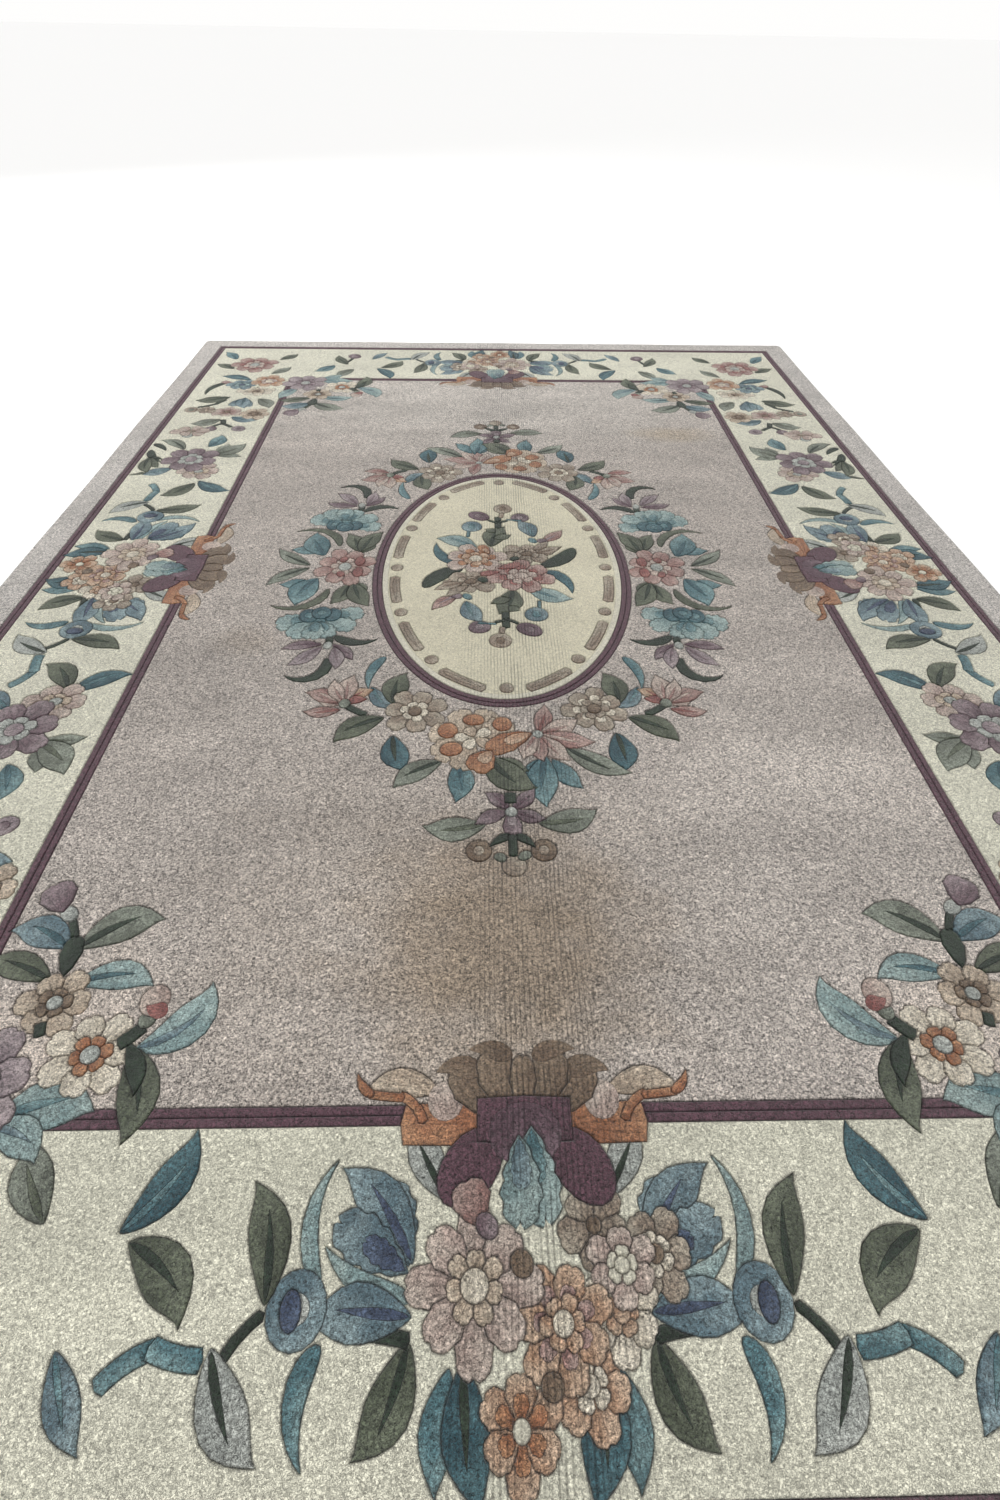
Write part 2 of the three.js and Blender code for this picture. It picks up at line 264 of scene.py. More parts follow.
@dataclass(frozen=True)
class Area:
    """An area of one yarn: both sides of a midrib that runs from its foot to its tip.

    The midrib is an arc that turns left through bend degrees. A carve of 1 is a full groove.
    """

    profile: Profile
    foot: Vector
    tip: Vector
    width: float
    bend: float
    yarn: Yarn
    carve: float = 1.0
    piece: str = ""

    STRAIGHT = 0.001
    TIP_CURL = 0.26
    CURL_POWER = 5
    END_GROWTH = 1.2
    END_SHRINKAGE = 1.5
    MOST_SHORTENED = 0.2
    MOST_THINNED = 0.55
    DISCS = 8

    def moved(self, move: Move) -> "Area":
        """Returns this area at another place of the pattern."""
        bend = -self.bend if move.mirrors() else self.bend
        return replace(self, foot=move.apply(self.foot), tip=move.apply(self.tip), bend=bend)

    def length(self) -> float:
        """Works out the midrib's length.

        Returns:
            The length.
        """
        turn = abs(math.radians(self.bend))
        chord = (self.tip - self.foot).length
        return chord if turn < self.STRAIGHT else chord * turn / (2.0 * math.sin(turn / 2.0))

    def midrib(self, distance: float) -> tuple[Vector, Vector]:
        """Finds a point of the midrib and the unit vector to its left there.

        Args:
            distance: Millimetres from the foot. It may lie before the foot or past the tip.

        Returns:
            The point and the vector.
        """
        chord = self.tip - self.foot
        heading = math.atan2(chord.y, chord.x)
        turn = math.radians(self.bend)
        if abs(turn) < self.STRAIGHT:
            side = Vector((-math.sin(heading), math.cos(heading)))
            return self.foot + chord.normalized() * distance, side
        radius = chord.length / (2.0 * math.sin(turn / 2.0))
        start = heading - turn / 2.0
        angle = start + distance / radius
        across = Vector((math.sin(angle) - math.sin(start), math.cos(start) - math.cos(angle)))
        return self.foot + across * radius, Vector((-math.sin(angle), math.cos(angle)))

    def outline(self, growth: float) -> list[Vector]:
        """Works out the closed outline, grown or shrunk.

        Args:
            growth: Millimetres outwards. Narrow ends shrink by less than they are told to.

        Returns:
            The outline's points, of which there are always as many.
        """
        length = self.length()
        if growth > 0:
            ends = self.END_GROWTH * growth
        else:
            ends = max(self.END_SHRINKAGE * growth, -self.MOST_SHORTENED * length)
        steps = self.profile.value
        right, left = [], []
        for i in range(steps + 1):
            t = (1.0 - math.cos(math.pi * i / steps)) / 2.0
            distance = t * (length + 2.0 * ends) - ends
            centre, side = self.midrib(distance)
            if self.profile is Profile.LEAF:
                curl = self.TIP_CURL * self.width * max(0.0, distance / length) ** self.CURL_POWER
                centre += side * math.copysign(curl, self.bend)
            reach = self.width / 2.0 * self.profile.share(t)
            if 0 < i < steps:
                reach += max(growth, -self.MOST_THINNED * reach)
            elif i > 0 and self.profile in RUFFLES:
                centre = self.midrib(distance - RUFFLES[self.profile].notch * length)[0]
            right.append(centre - side * reach)
            left.append(centre + side * reach)
        return right + left[-2:0:-1]

    def part(self, inlay: "Inlay", width: float, yarn: Yarn) -> "Area":
        """Makes a smaller area along a part of this one's midrib.

        Args:
            inlay: Its shares of the midrib and of a full groove.
            width: The width that the inlay's is a share of.
            yarn: Its yarn.

        Returns:
            The new area.
        """
        foot, tip = (self.midrib(t * self.length())[0] for t in (inlay.start, inlay.end))
        bend = self.bend * (inlay.end - inlay.start)
        part = replace(self, foot=foot, tip=tip, width=inlay.width * width, bend=bend)
        return replace(part, yarn=yarn, carve=inlay.carve)

    def facts(self) -> tuple[float, ...]:
        """Gathers what places a point of the pile within the area.

        Returns:
            The foot's x and y, the heading there, the midrib's turn and length, and half the width.
        """
        chord = self.tip - self.foot
        turn = math.radians(self.bend) or self.STRAIGHT
        heading = math.atan2(chord.y, chord.x) - turn / 2.0
        return self.foot.x, self.foot.y, heading, turn, self.length(), self.width / 2.0

    def discs(self) -> list[Disc]:
        """Covers the area and its groove with discs.

        Returns:
            Each disc's x, y and radius.
        """
        length = self.length()
        found = []
        for i in range(self.DISCS):
            t = (i + 0.5) / self.DISCS
            centre = self.midrib(t * length)[0]
            reach = max(self.width / 2.0 * self.profile.share(t), length / (2.0 * self.DISCS))
            found.append((centre.x, centre.y, reach + GROOVE_HALF))
        return found


@dataclass(frozen=True)
class Panel:
    """A rectangle of one yarn, whose edges may wander as those on a loom do."""

    half_x: float
    half_y: float
    yarn: Yarn
    piece: str
    wander: float = 0.0
    corner: float = 0.0
    carve: float = 1.0

    STATIONS = 24
    WAVES = 4

    def outline(self, growth: float) -> list[Vector]:
        """Works out the closed outline, grown or shrunk.

        Args:
            growth: Millimetres outwards.

        Returns:
            The outline's points.
        """
        stations = self.STATIONS if self.wander else 1
        points = []
        for side in range(4):
            out, along = self.half_x + growth, self.half_y + growth
            if side % 2 == 1:
                out, along = along, out
            turn = Matrix.Rotation(side * math.pi / 2.0, 2)
            for i in range(stations + 1 if self.wander else stations):
                share = 2.0 * i / stations - 1.0
                dip = self.wander * (math.cos(share * math.pi * self.WAVES) - 1.0) / 2.0
                points.append(turn @ Vector((out + dip, share * (along - self.corner))))
        return points


@dataclass(frozen=True)
class Oval:
    """An ellipse of one yarn round the medallion's centre."""

    radius_x: float
    radius_y: float
    yarn: Yarn
    piece: str
    carve: float = 1.0
    steps: int = 144

    def outline(self, growth: float) -> list[Vector]:
        """Works out the closed outline, grown or shrunk.

        Args:
            growth: Millimetres outwards.

        Returns:
            The outline's points.
        """
        centre = Vector(MEDALLION)
        points = []
        for i in range(self.steps):
            angle = math.tau * i / self.steps
            reach_x = (self.radius_x + growth) * math.cos(angle)
            reach_y = (self.radius_y + growth) * math.sin(angle)
            points.append(centre + Vector((reach_x, reach_y)))
        return points


Shape = Area | Panel | Oval


@dataclass(frozen=True)
class Inlay:
    """A vein or heart inside a motif: the stretch of midrib it takes, its width and its groove."""

    start: float
    end: float
    width: float
    carve: float


class Motif(Enum):
    """The motifs that the charts draw."""

    LEAF = "leaf"
    PETAL = "petal"
    FRILL = "frill"
    HOOK = "hook"
    STEM = "stem"
    BUD = "bud"
    CAP = "cap"
    PATCH = "patch"

    def areas(
        self, foot: Vector, tip: Vector, width: float, bend: float, yarns: list[Yarn]
    ) -> list[Area]:
        """Draws one motif.

        Args:
            foot: Where its midrib begins.
            tip: Where its midrib ends.
            width: Its widest.
            bend: The degrees that its midrib turns left.
            yarns: Its yarn, and that of its vein or heart where it has one.

        Returns:
            Its areas, from the back to the front.
        """
        profile = LIKENESSES.get(self) or Profile[self.name]
        carve = SOFT_CARVE if self in SOFT_MOTIFS else 1.0
        body = Area(profile, foot, tip, width, bend, yarns[0], carve)
        if len(yarns) == 1:
            return [body]
        inlay = INLAYS.get(self, HEART)
        inner = body.part(inlay, width, yarns[1])
        return [body, replace(inner, profile=Profile.VEIN) if self is Motif.LEAF else inner]


LIKENESSES = {Motif.BUD: Profile.ROUND, Motif.PATCH: Profile.ROUND, Motif.CAP: Profile.HOOK}
SOFT_MOTIFS = (Motif.CAP, Motif.PATCH)
HEART = Inlay(0.3, 0.7, width=0.45, carve=0.5)
INLAYS = {
    Motif.LEAF: Inlay(0.02, 0.72, width=0.2, carve=0.35),
    Motif.PETAL: Inlay(0.04, 0.6, width=0.5, carve=0.5),
    Motif.FRILL: Inlay(0.04, 0.6, width=0.5, carve=0.5),
}


def motifs(chart: str) -> list[Area]:
    """Reads a chart of motifs.

    Args:
        chart: A row of column names, then a row for each motif: its kind, foot, tip, width
            and bend, its yarn, and the yarn of its vein or heart.

    Returns:
        The motifs' areas, from the back to the front.
    """
    found = []
    for row in chart.strip().splitlines()[1:]:
        kind, *words = row.split()
        x, y, tip_x, tip_y, width, bend = map(float, words[:6])
        yarns = [Yarn[word.upper()] for word in words[6:]]
        found += Motif(kind).areas(Vector((x, y)), Vector((tip_x, tip_y)), width, bend, yarns)
    return found


@dataclass(frozen=True)
class Flower:
    """An open flower: a ring of petals round an eye, and a second ring on a double one."""

    centre: Vector
    radius_x: float
    radius_y: float
    petals: int
    turn: float
    yarn: Yarn
    eye: Yarn
    heart: Yarn | None
    inner: Yarn | None

    EYE = 0.42
    INNER_RING = 0.46
    PETAL_FOOT = 0.1
    PETAL_TIPS = (1.04, 0.92)
    PETAL_WIDTH = 4.3

    def areas(self) -> list[Area]:
        """Draws the flower.

        Returns:
            Its areas, from the back to the front.
        """
        found = self._ring(self.petals, self.turn, 1.0, self.yarn, self.heart)
        if self.inner is not None:
            turn = self.turn + 180.0 / self.petals
            found += self._ring(self.petals - 1, turn, self.INNER_RING, self.inner, None)
        half = Vector((self.EYE / 2.0 * self.radius_x, 0.0))
        width = self.EYE * self.radius_y
        return found + Motif.BUD.areas(self.centre - half, self.centre + half, width, 0.0, [self.eye])

    def _ring(
        self, count: int, turn: float, share: float, yarn: Yarn, heart: Yarn | None
    ) -> list[Area]:
        """Draws a ring of petals, every second one first, so that the others overlap those.

        Args:
            count: How many petals.
            turn: The first one's direction, in degrees from +X.
            share: The ring's size, as a share of the flower's.
            yarn: The petals' yarn.
            heart: The yarn of the petals' hearts, if they have any.

        Returns:
            The petals' areas.
        """
        width = share * self.PETAL_WIDTH * (self.radius_x + self.radius_y) / 2.0 / count
        drawn = []
        for i in [*range(0, count, 2), *range(1, count, 2)]:
            angle = math.radians(turn) + math.tau * i / count
            reach = Vector((math.cos(angle) * self.radius_x, math.sin(angle) * self.radius_y))
            foot = self.centre + reach * self.PETAL_FOOT
            tip = self.centre + reach * (share * self.PETAL_TIPS[i % 2])
            drawn += Motif.PETAL.areas(foot, tip, width, 0.0, [y for y in (yarn, heart) if y])
        return drawn


def flowers(chart: str) -> list[Area]:
    """Reads a chart of flowers.

    Args:
        chart: A row of column names, then a row for each flower: its centre, radii, count of
            petals and turn, and the yarns of petals, eye, hearts and inner ring. A dash
            stands for none.

    Returns:
        The flowers' areas, from the back to the front.
    """
    found = []
    for row in chart.strip().splitlines()[1:]:
        words = row.split()
        x, y, radius_x, radius_y, petals, turn = map(float, words[:6])
        yarns = [None if word == "-" else Yarn[word.upper()] for word in words[6:]]
        found += Flower(Vector((x, y)), radius_x, radius_y, int(petals), turn, *yarns).areas()
    return found


def placed(areas: list[Area], moves: list[Move], piece: str) -> list[Area]:
    """Copies areas to their places.

    Args:
        areas: The areas, from the back to the front.
        moves: A move for each copy.
        piece: The name of the piece that they belong to.

    Returns:
        All the copies.
    """
    return [replace(area.moved(move), piece=piece) for move in moves for area in areas]


@dataclass
class Grounds:
    """The plain areas: the outer band, the border and the field, and the guard lines between."""

    ridge: float = GUARD_WIDTH / 2.0

    def shapes(self) -> list[Shape]:
        """Draws the grounds and guard lines.

        Returns:
            Them, each one lying on the one before.
        """
        return [
            Panel(WIDTH / 2.0, LENGTH / 2.0, Yarn.BAND, "outer_band", EDGE_WANDER, EDGE_CORNER),
            *self._guard(OUTER_GUARD, "outer_guard"),
            Panel(*self._grown(OUTER_GUARD, -self.ridge), Yarn.CREAM, "border_ground"),
            *self._guard(INNER_GUARD, "inner_guard"),
            Panel(*self._grown(INNER_GUARD, -self.ridge), Yarn.FIELD, "field"),
        ]

    def _grown(self, size: Range, growth: float) -> Range:
        """Returns a rectangle's half sizes, grown by an amount."""
        return size[0] + growth, size[1] + growth

    def _guard(self, size: Range, piece: str) -> list[Shape]:
        """Draws a guard line.

        Args:
            size: Its half sizes.
            piece: The name of its piece.

        Returns:
            Its two ridges.
        """
        return [
            Panel(*self._grown(size, growth), Yarn.PLUM, piece) for growth in (self.ridge, 0.0)
        ]


@dataclass
class Medallion:
    """The oval ground with its ring, pale line, beads and bouquet."""

    bead_inset: float = 46.0
    bead_pairs: int = 12
    dot_radius: float = 15.0
    bar_length: float = 116.0
    bar_width: float = 24.0
    bar_curve: float = 1.2
    bar_line: Inlay = Inlay(0.08, 0.92, width=10.0, carve=0.5)
    path_steps: int = 720

    FOLIAGE = """
kind x    y    tip_x tip_y width bend yarn      second
leaf 26   -98  4     -208  64    -12  olive     forest
leaf 20   -140 -30   -152  30    0    olive
leaf 14   -170 36    -192  26    0    olive
stem 6    -192 6     -256  18    0    forest
stem 4    -226 -20   -234  10    20   forest
stem 8    -222 34    -238  9     -20  forest
stem -2   -250 -6    -286  13    0    taupe
bud  -34  -300 18    -302  52    0    taupe     brown
bud  32   -242 86    -278  46    0    mulberry  mauve
bud  -80  -258 -30   -244  48    0    mauve     lilac
leaf -88  -148 -58   -238  50    15   blue      teal
stem -60  -236 -16   -240  7     -10  teal
leaf -108 -122 -174  -178  36    0    pink      lilac
bud  -124 -120 -98   -134  24    0    mauve
bud  -94  -118 -76   -142  20    0    teal
bud  -98  -6   -190  -94   46    58   forest
leaf -92  -74  -162  -92   28    0    taupe     sage
hook 112  -18  170   -116  32    -72  deep_teal
leaf 64   -92  166   -152  56    18   sea       teal
stem 88   -146 86    -180  9     0    teal
bud  50   -206 106   -198  56    0    blue      teal
"""
    BLOOMS = """
x   y   radius_x radius_y petals turn yarn  eye   heart  inner
66  62  72       50       6      20   taupe brown -      taupe
-78 -66 72       52       6      200  taupe brown -      taupe
-66 40  82       72       7      10   blush straw orange peach
48  -40 86       74       7      -15  pink  blush rose   blush
"""
    ACCENTS = """
kind  x   y   tip_x tip_y width bend yarn   second
leaf  92  66  158   92    30    0    taupe  brown
leaf  84  82  128   122   26    10   taupe
leaf  -96 -72 -168  -96   30    0    taupe  brown
leaf  -84 -84 -140  -126  26    0    taupe
petal -10 -8  50    18    26    10   rose
petal -4  -22 -56   -34   24    10   rose
petal -30 62  -56   106   28    0    orange peach
bud   -60 -50 -36   -66   22    0    forest
bud   22  34  46    46    20    0    forest
"""

    def shapes(self) -> list[Shape]:
        """Draws the medallion.

        Returns:
            Its areas, from the back to the front.
        """
        half = RING_WIDTH / 2.0
        rings = [
            (half, Yarn.PLUM, "medallion_ring"),
            (0.0, Yarn.PLUM, "medallion_ring"),
            (-half, Yarn.IVORY, "medallion_pale_line"),
            (-half - PALE_LINE_WIDTH, Yarn.BUTTER, "medallion_ground"),
        ]
        ovals = [Oval(RING[0] + g, RING[1] + g, yarn, piece) for g, yarn, piece in rings]
        ovals[-1] = replace(ovals[-1], carve=SOFT_CARVE)
        return [*ovals, *self._beads(), *self._bouquet()]

    def _beads(self) -> list[Area]:
        """Draws dots and bars by turns, evenly along an oval inside the ring.

        Returns:
            The dots and bars, and the line carved along each bar.
        """
        radii = Vector((RING[0] - self.bead_inset, RING[1] - self.bead_inset))
        path = []
        for i in range(self.path_steps + 1):
            angle = math.tau * i / self.path_steps
            path.append(Vector((math.cos(angle) * radii.x, math.sin(angle) * radii.y)))
        reached = [0.0]
        for before, after in zip(path, path[1:]):
            reached.append(reached[-1] + (after - before).length)
        found = []
        for i in range(2 * self.bead_pairs):
            goal = reached[-1] * i / (2 * self.bead_pairs)
            at = next(j for j, far in enumerate(reached) if far >= goal)
            along = (path[(at + 1) % self.path_steps] - path[at - 1]).normalized()
            found += self._bar(path[at], along, radii) if i % 2 == 1 else self._dot(path[at], along)
        return placed(found, [TO_MEDALLION], "medallion_beads")

    def _dot(self, centre: Vector, along: Vector) -> list[Area]:
        """Draws a round bead."""
        half, width = along * self.dot_radius, 2.0 * self.dot_radius
        return [Area(Profile.ROUND, centre - half, centre + half, width, 0.0, Yarn.TAUPE)]

    def _bar(self, centre: Vector, along: Vector, radii: Vector) -> list[Area]:
        """Draws a long bead with a line carved along it.

        Args:
            centre: The bead's middle.
            along: The unit vector along it.
            radii: The radii of the oval that it bends with.

        Returns:
            The bead and its line.
        """
        half = along * (self.bar_length / 2.0)
        bend = math.degrees(self.bar_length / radii.length * self.bar_curve)
        bar = Area(Profile.STEM, centre - half, centre + half, self.bar_width, bend, Yarn.TAUPE)
        return [bar, replace(bar.part(self.bar_line, 1.0, bar.yarn), profile=Profile.VEIN)]

    def _bouquet(self) -> list[Area]:
        """Draws the bouquet: two like halves of foliage, and four flowers between them.

        Returns:
            Its areas, from the back to the front.
        """
        drawn = placed(motifs(self.FOLIAGE), HALVES, "")
        drawn += flowers(self.BLOOMS) + motifs(self.ACCENTS)
        return placed(drawn, [TO_MEDALLION], "bouquet")


@dataclass
class Wreath:
    """The flowers and leaves round the medallion: four like quarters and two side flowers."""

    LEAVES = """
kind  x   y    tip_x tip_y width bend yarn      second
leaf  484 -6   584   -78   40    -14  sage      forest
leaf  462 -60  472   -140  42    0    sea
leaf  468 -66  542   -90   42    0    teal
leaf  456 -52  508   -162  70    -10  teal      deep_teal
leaf  364 -66  332   -126  40    0    olive
leaf  368 -72  398   -166  48    0    olive     forest
leaf  366 -70  328   -176  52    -10  olive     forest
hook  424 -98  548   -168  24    125  olive
bud   396 -226 446   -228  40    0    teal
frill 404 -212 324   -194  54    0    sea       teal
frill 410 -226 338   -254  50    0    sea
frill 420 -230 392   -292  46    0    sea       teal
frill 440 -218 522   -246  62    0    sea       teal
frill 438 -226 480   -292  54    0    sea
frill 428 -230 434   -298  50    0    sea       teal
bud   396 -178 398   -230  42    0    deep_teal
bud   458 -182 444   -234  46    0    deep_teal teal
bud   424 -172 422   -222  46    0    deep_teal teal
stem  390 -288 390   -312  17    0    forest
hook  380 -282 284   -296  25    -90  forest
hook  389 -362 466   -420  26    165  forest
hook  258 -358 284   -464  23    -60  teal
leaf  278 -456 230   -528  36    -30  blue      teal
leaf  231 -508 222   -410  56    14   olive     forest
stem  322 -514 280   -540  15    -20  forest
leaf  244 -548 344   -606  54    -22  olive     forest
"""
    SIDE_FLOWER = """
x   y radius_x radius_y petals turn yarn eye  heart inner
396 0 78       86       8      22   pink mist -     blush
"""
    SIDE_HEARTS = """
kind x   y  tip_x tip_y width bend yarn second
bud  362 4  360   46    27    0    rose
bud  410 22 396   44    20    0    rose
"""
    LILIES = """
kind x   y    tip_x tip_y width bend yarn  second
leaf 380 -314 324   -364  30    0    mauve mulberry
leaf 404 -314 492   -324  32    -10  mauve mulberry
leaf 376 -324 354   -398  34    0    lilac mauve
leaf 404 -322 462   -394  36    8    lilac mauve
bud  390 -304 392   -332  20    0    mist
leaf 326 -500 278   -458  32    10   peach rose
leaf 328 -504 286   -488  24    0    rose
leaf 336 -510 386   -500  26    0    blush pink
leaf 336 -504 408   -464  42    -10  pink  blush
leaf 328 -500 330   -420  46    0    blush pink
leaf 332 -502 366   -436  34    10   blush pink
leaf 334 -524 408   -538  32    12   pink  rose
bud  316 -506 340   -508  27    0    sage
"""

    def shapes(self) -> list[Shape]:
        """Draws the wreath.

        Returns:
            Its areas, from the back to the front.
        """
        drawn = placed(motifs(self.LEAVES), QUARTERS, "")
        drawn += placed(flowers(self.SIDE_FLOWER), HALVES, "")
        drawn += placed(motifs(self.SIDE_HEARTS), QUARTERS, "")
        drawn += placed(motifs(self.LILIES), QUARTERS, "")
        return placed(drawn, [TO_MEDALLION], "wreath")


@dataclass
class Cluster:
    """The flowers above and below the medallion: two like halves."""

    LEAVES = """
kind  x    y    tip_x tip_y width bend yarn      second
leaf  214  -592 224   -698  56    -10  deep_teal forest
leaf  -222 -598 -202  -696  54    14   deep_teal forest
leaf  110  -630 226   -708  48    16   sage      forest
leaf  -124 -666 -218  -722  48    14   sage      forest
leaf  -94  -664 -84   -766  50    -12  teal      deep_teal
leaf  84   -662 128   -740  40    0    teal
leaf  62   -660 36    -716  36    0    teal
leaf  70   -652 52    -776  60    0    teal      deep_teal
leaf  -20  -658 34    -698  34    0    olive
leaf  -42  -650 44    -746  64    26   olive     forest
leaf  -42  -814 -152  -830  52    -14  sage      olive
leaf  50   -812 160   -794  52    24   sage      olive
leaf  0    -782 -38   -738  30    0    mauve     mulberry
leaf  4    -782 52    -738  30    0    mauve     mulberry
leaf  -2   -786 -64   -808  30    0    mauve
leaf  6    -786 62    -810  30    0    mauve     mulberry
petal 2    -784 6     -844  34    0    mauve     lilac
bud   -8   -786 14    -788  22    0    mist
stem  2    -742 2     -768  20    0    forest
bud   -76  -866 -32   -874  44    0    brown     taupe
bud   34   -874 78    -866  44    0    brown     taupe
bud   -16  -900 26    -902  40    0    taupe
hook  2    -838 -36   -862  17    40   forest
hook  8    -838 42    -864  17    -40  forest
stem  4    -836 4     -882  15    0    forest
bud   -28  -878 -8    -888  18    0    sage
bud   12   -886 34    -874  18    0    sage
"""
    BLOOMS = """
x    y    radius_x radius_y petals turn yarn  eye   heart inner
-184 -530 66       66       7      20   taupe brown -     straw
178  -524 68       64       7      -20  taupe brown straw taupe
"""
    PETALS = """
kind  x    y    tip_x tip_y width bend yarn   second
leaf  61   -592 86    -514  38    0    pink   rose
leaf  64   -594 146   -564  46    0    blush  pink
leaf  66   -596 168   -628  44    0    pink   blush
leaf  64   -600 110   -672  44    0    blush  pink
leaf  60   -602 58    -668  38    0    pink   blush
leaf  56   -600 22    -658  38    0    blush  pink
frill -69  -604 -154  -588  60    0    sand
frill -69  -604 -100  -526  58    0    sand
frill -66  -604 -34   -526  58    0    sand
frill -62  -604 12    -560  56    0    sand
frill -69  -604 -142  -656  60    0    sand
frill -69  -610 -90   -690  54    0    sand
bud   -136 -586 -96   -584  42    0    orange
bud   -88  -554 -44   -556  32    0    orange
bud   -28  -572 10    -562  40    0    orange
bud   -130 -638 -86   -632  36    0    orange
petal -62  -604 -104  -604  26    0    straw
petal -62  -606 -34   -582  26    0    straw
petal -64  -602 -78   -576  26    0    sand
petal -64  -606 -80   -634  26    0    straw
petal -62  -606 -34   -628  26    0    sand
petal 50   -592 -40   -642  50    14   orange peach
petal -30  -638 -66   -692  54    0    orange peach
bud   50   -592 70    -598  20    0    mist
"""

    def shapes(self) -> list[Shape]:
        """Draws the clusters.

        Returns:
            Their areas, from the back to the front.
        """
        found = []
        for areas in (motifs(self.LEAVES), flowers(self.BLOOMS), motifs(self.PETALS)):
            found += placed(placed(areas, HALVES, ""), [TO_MEDALLION], "cluster")
        return found


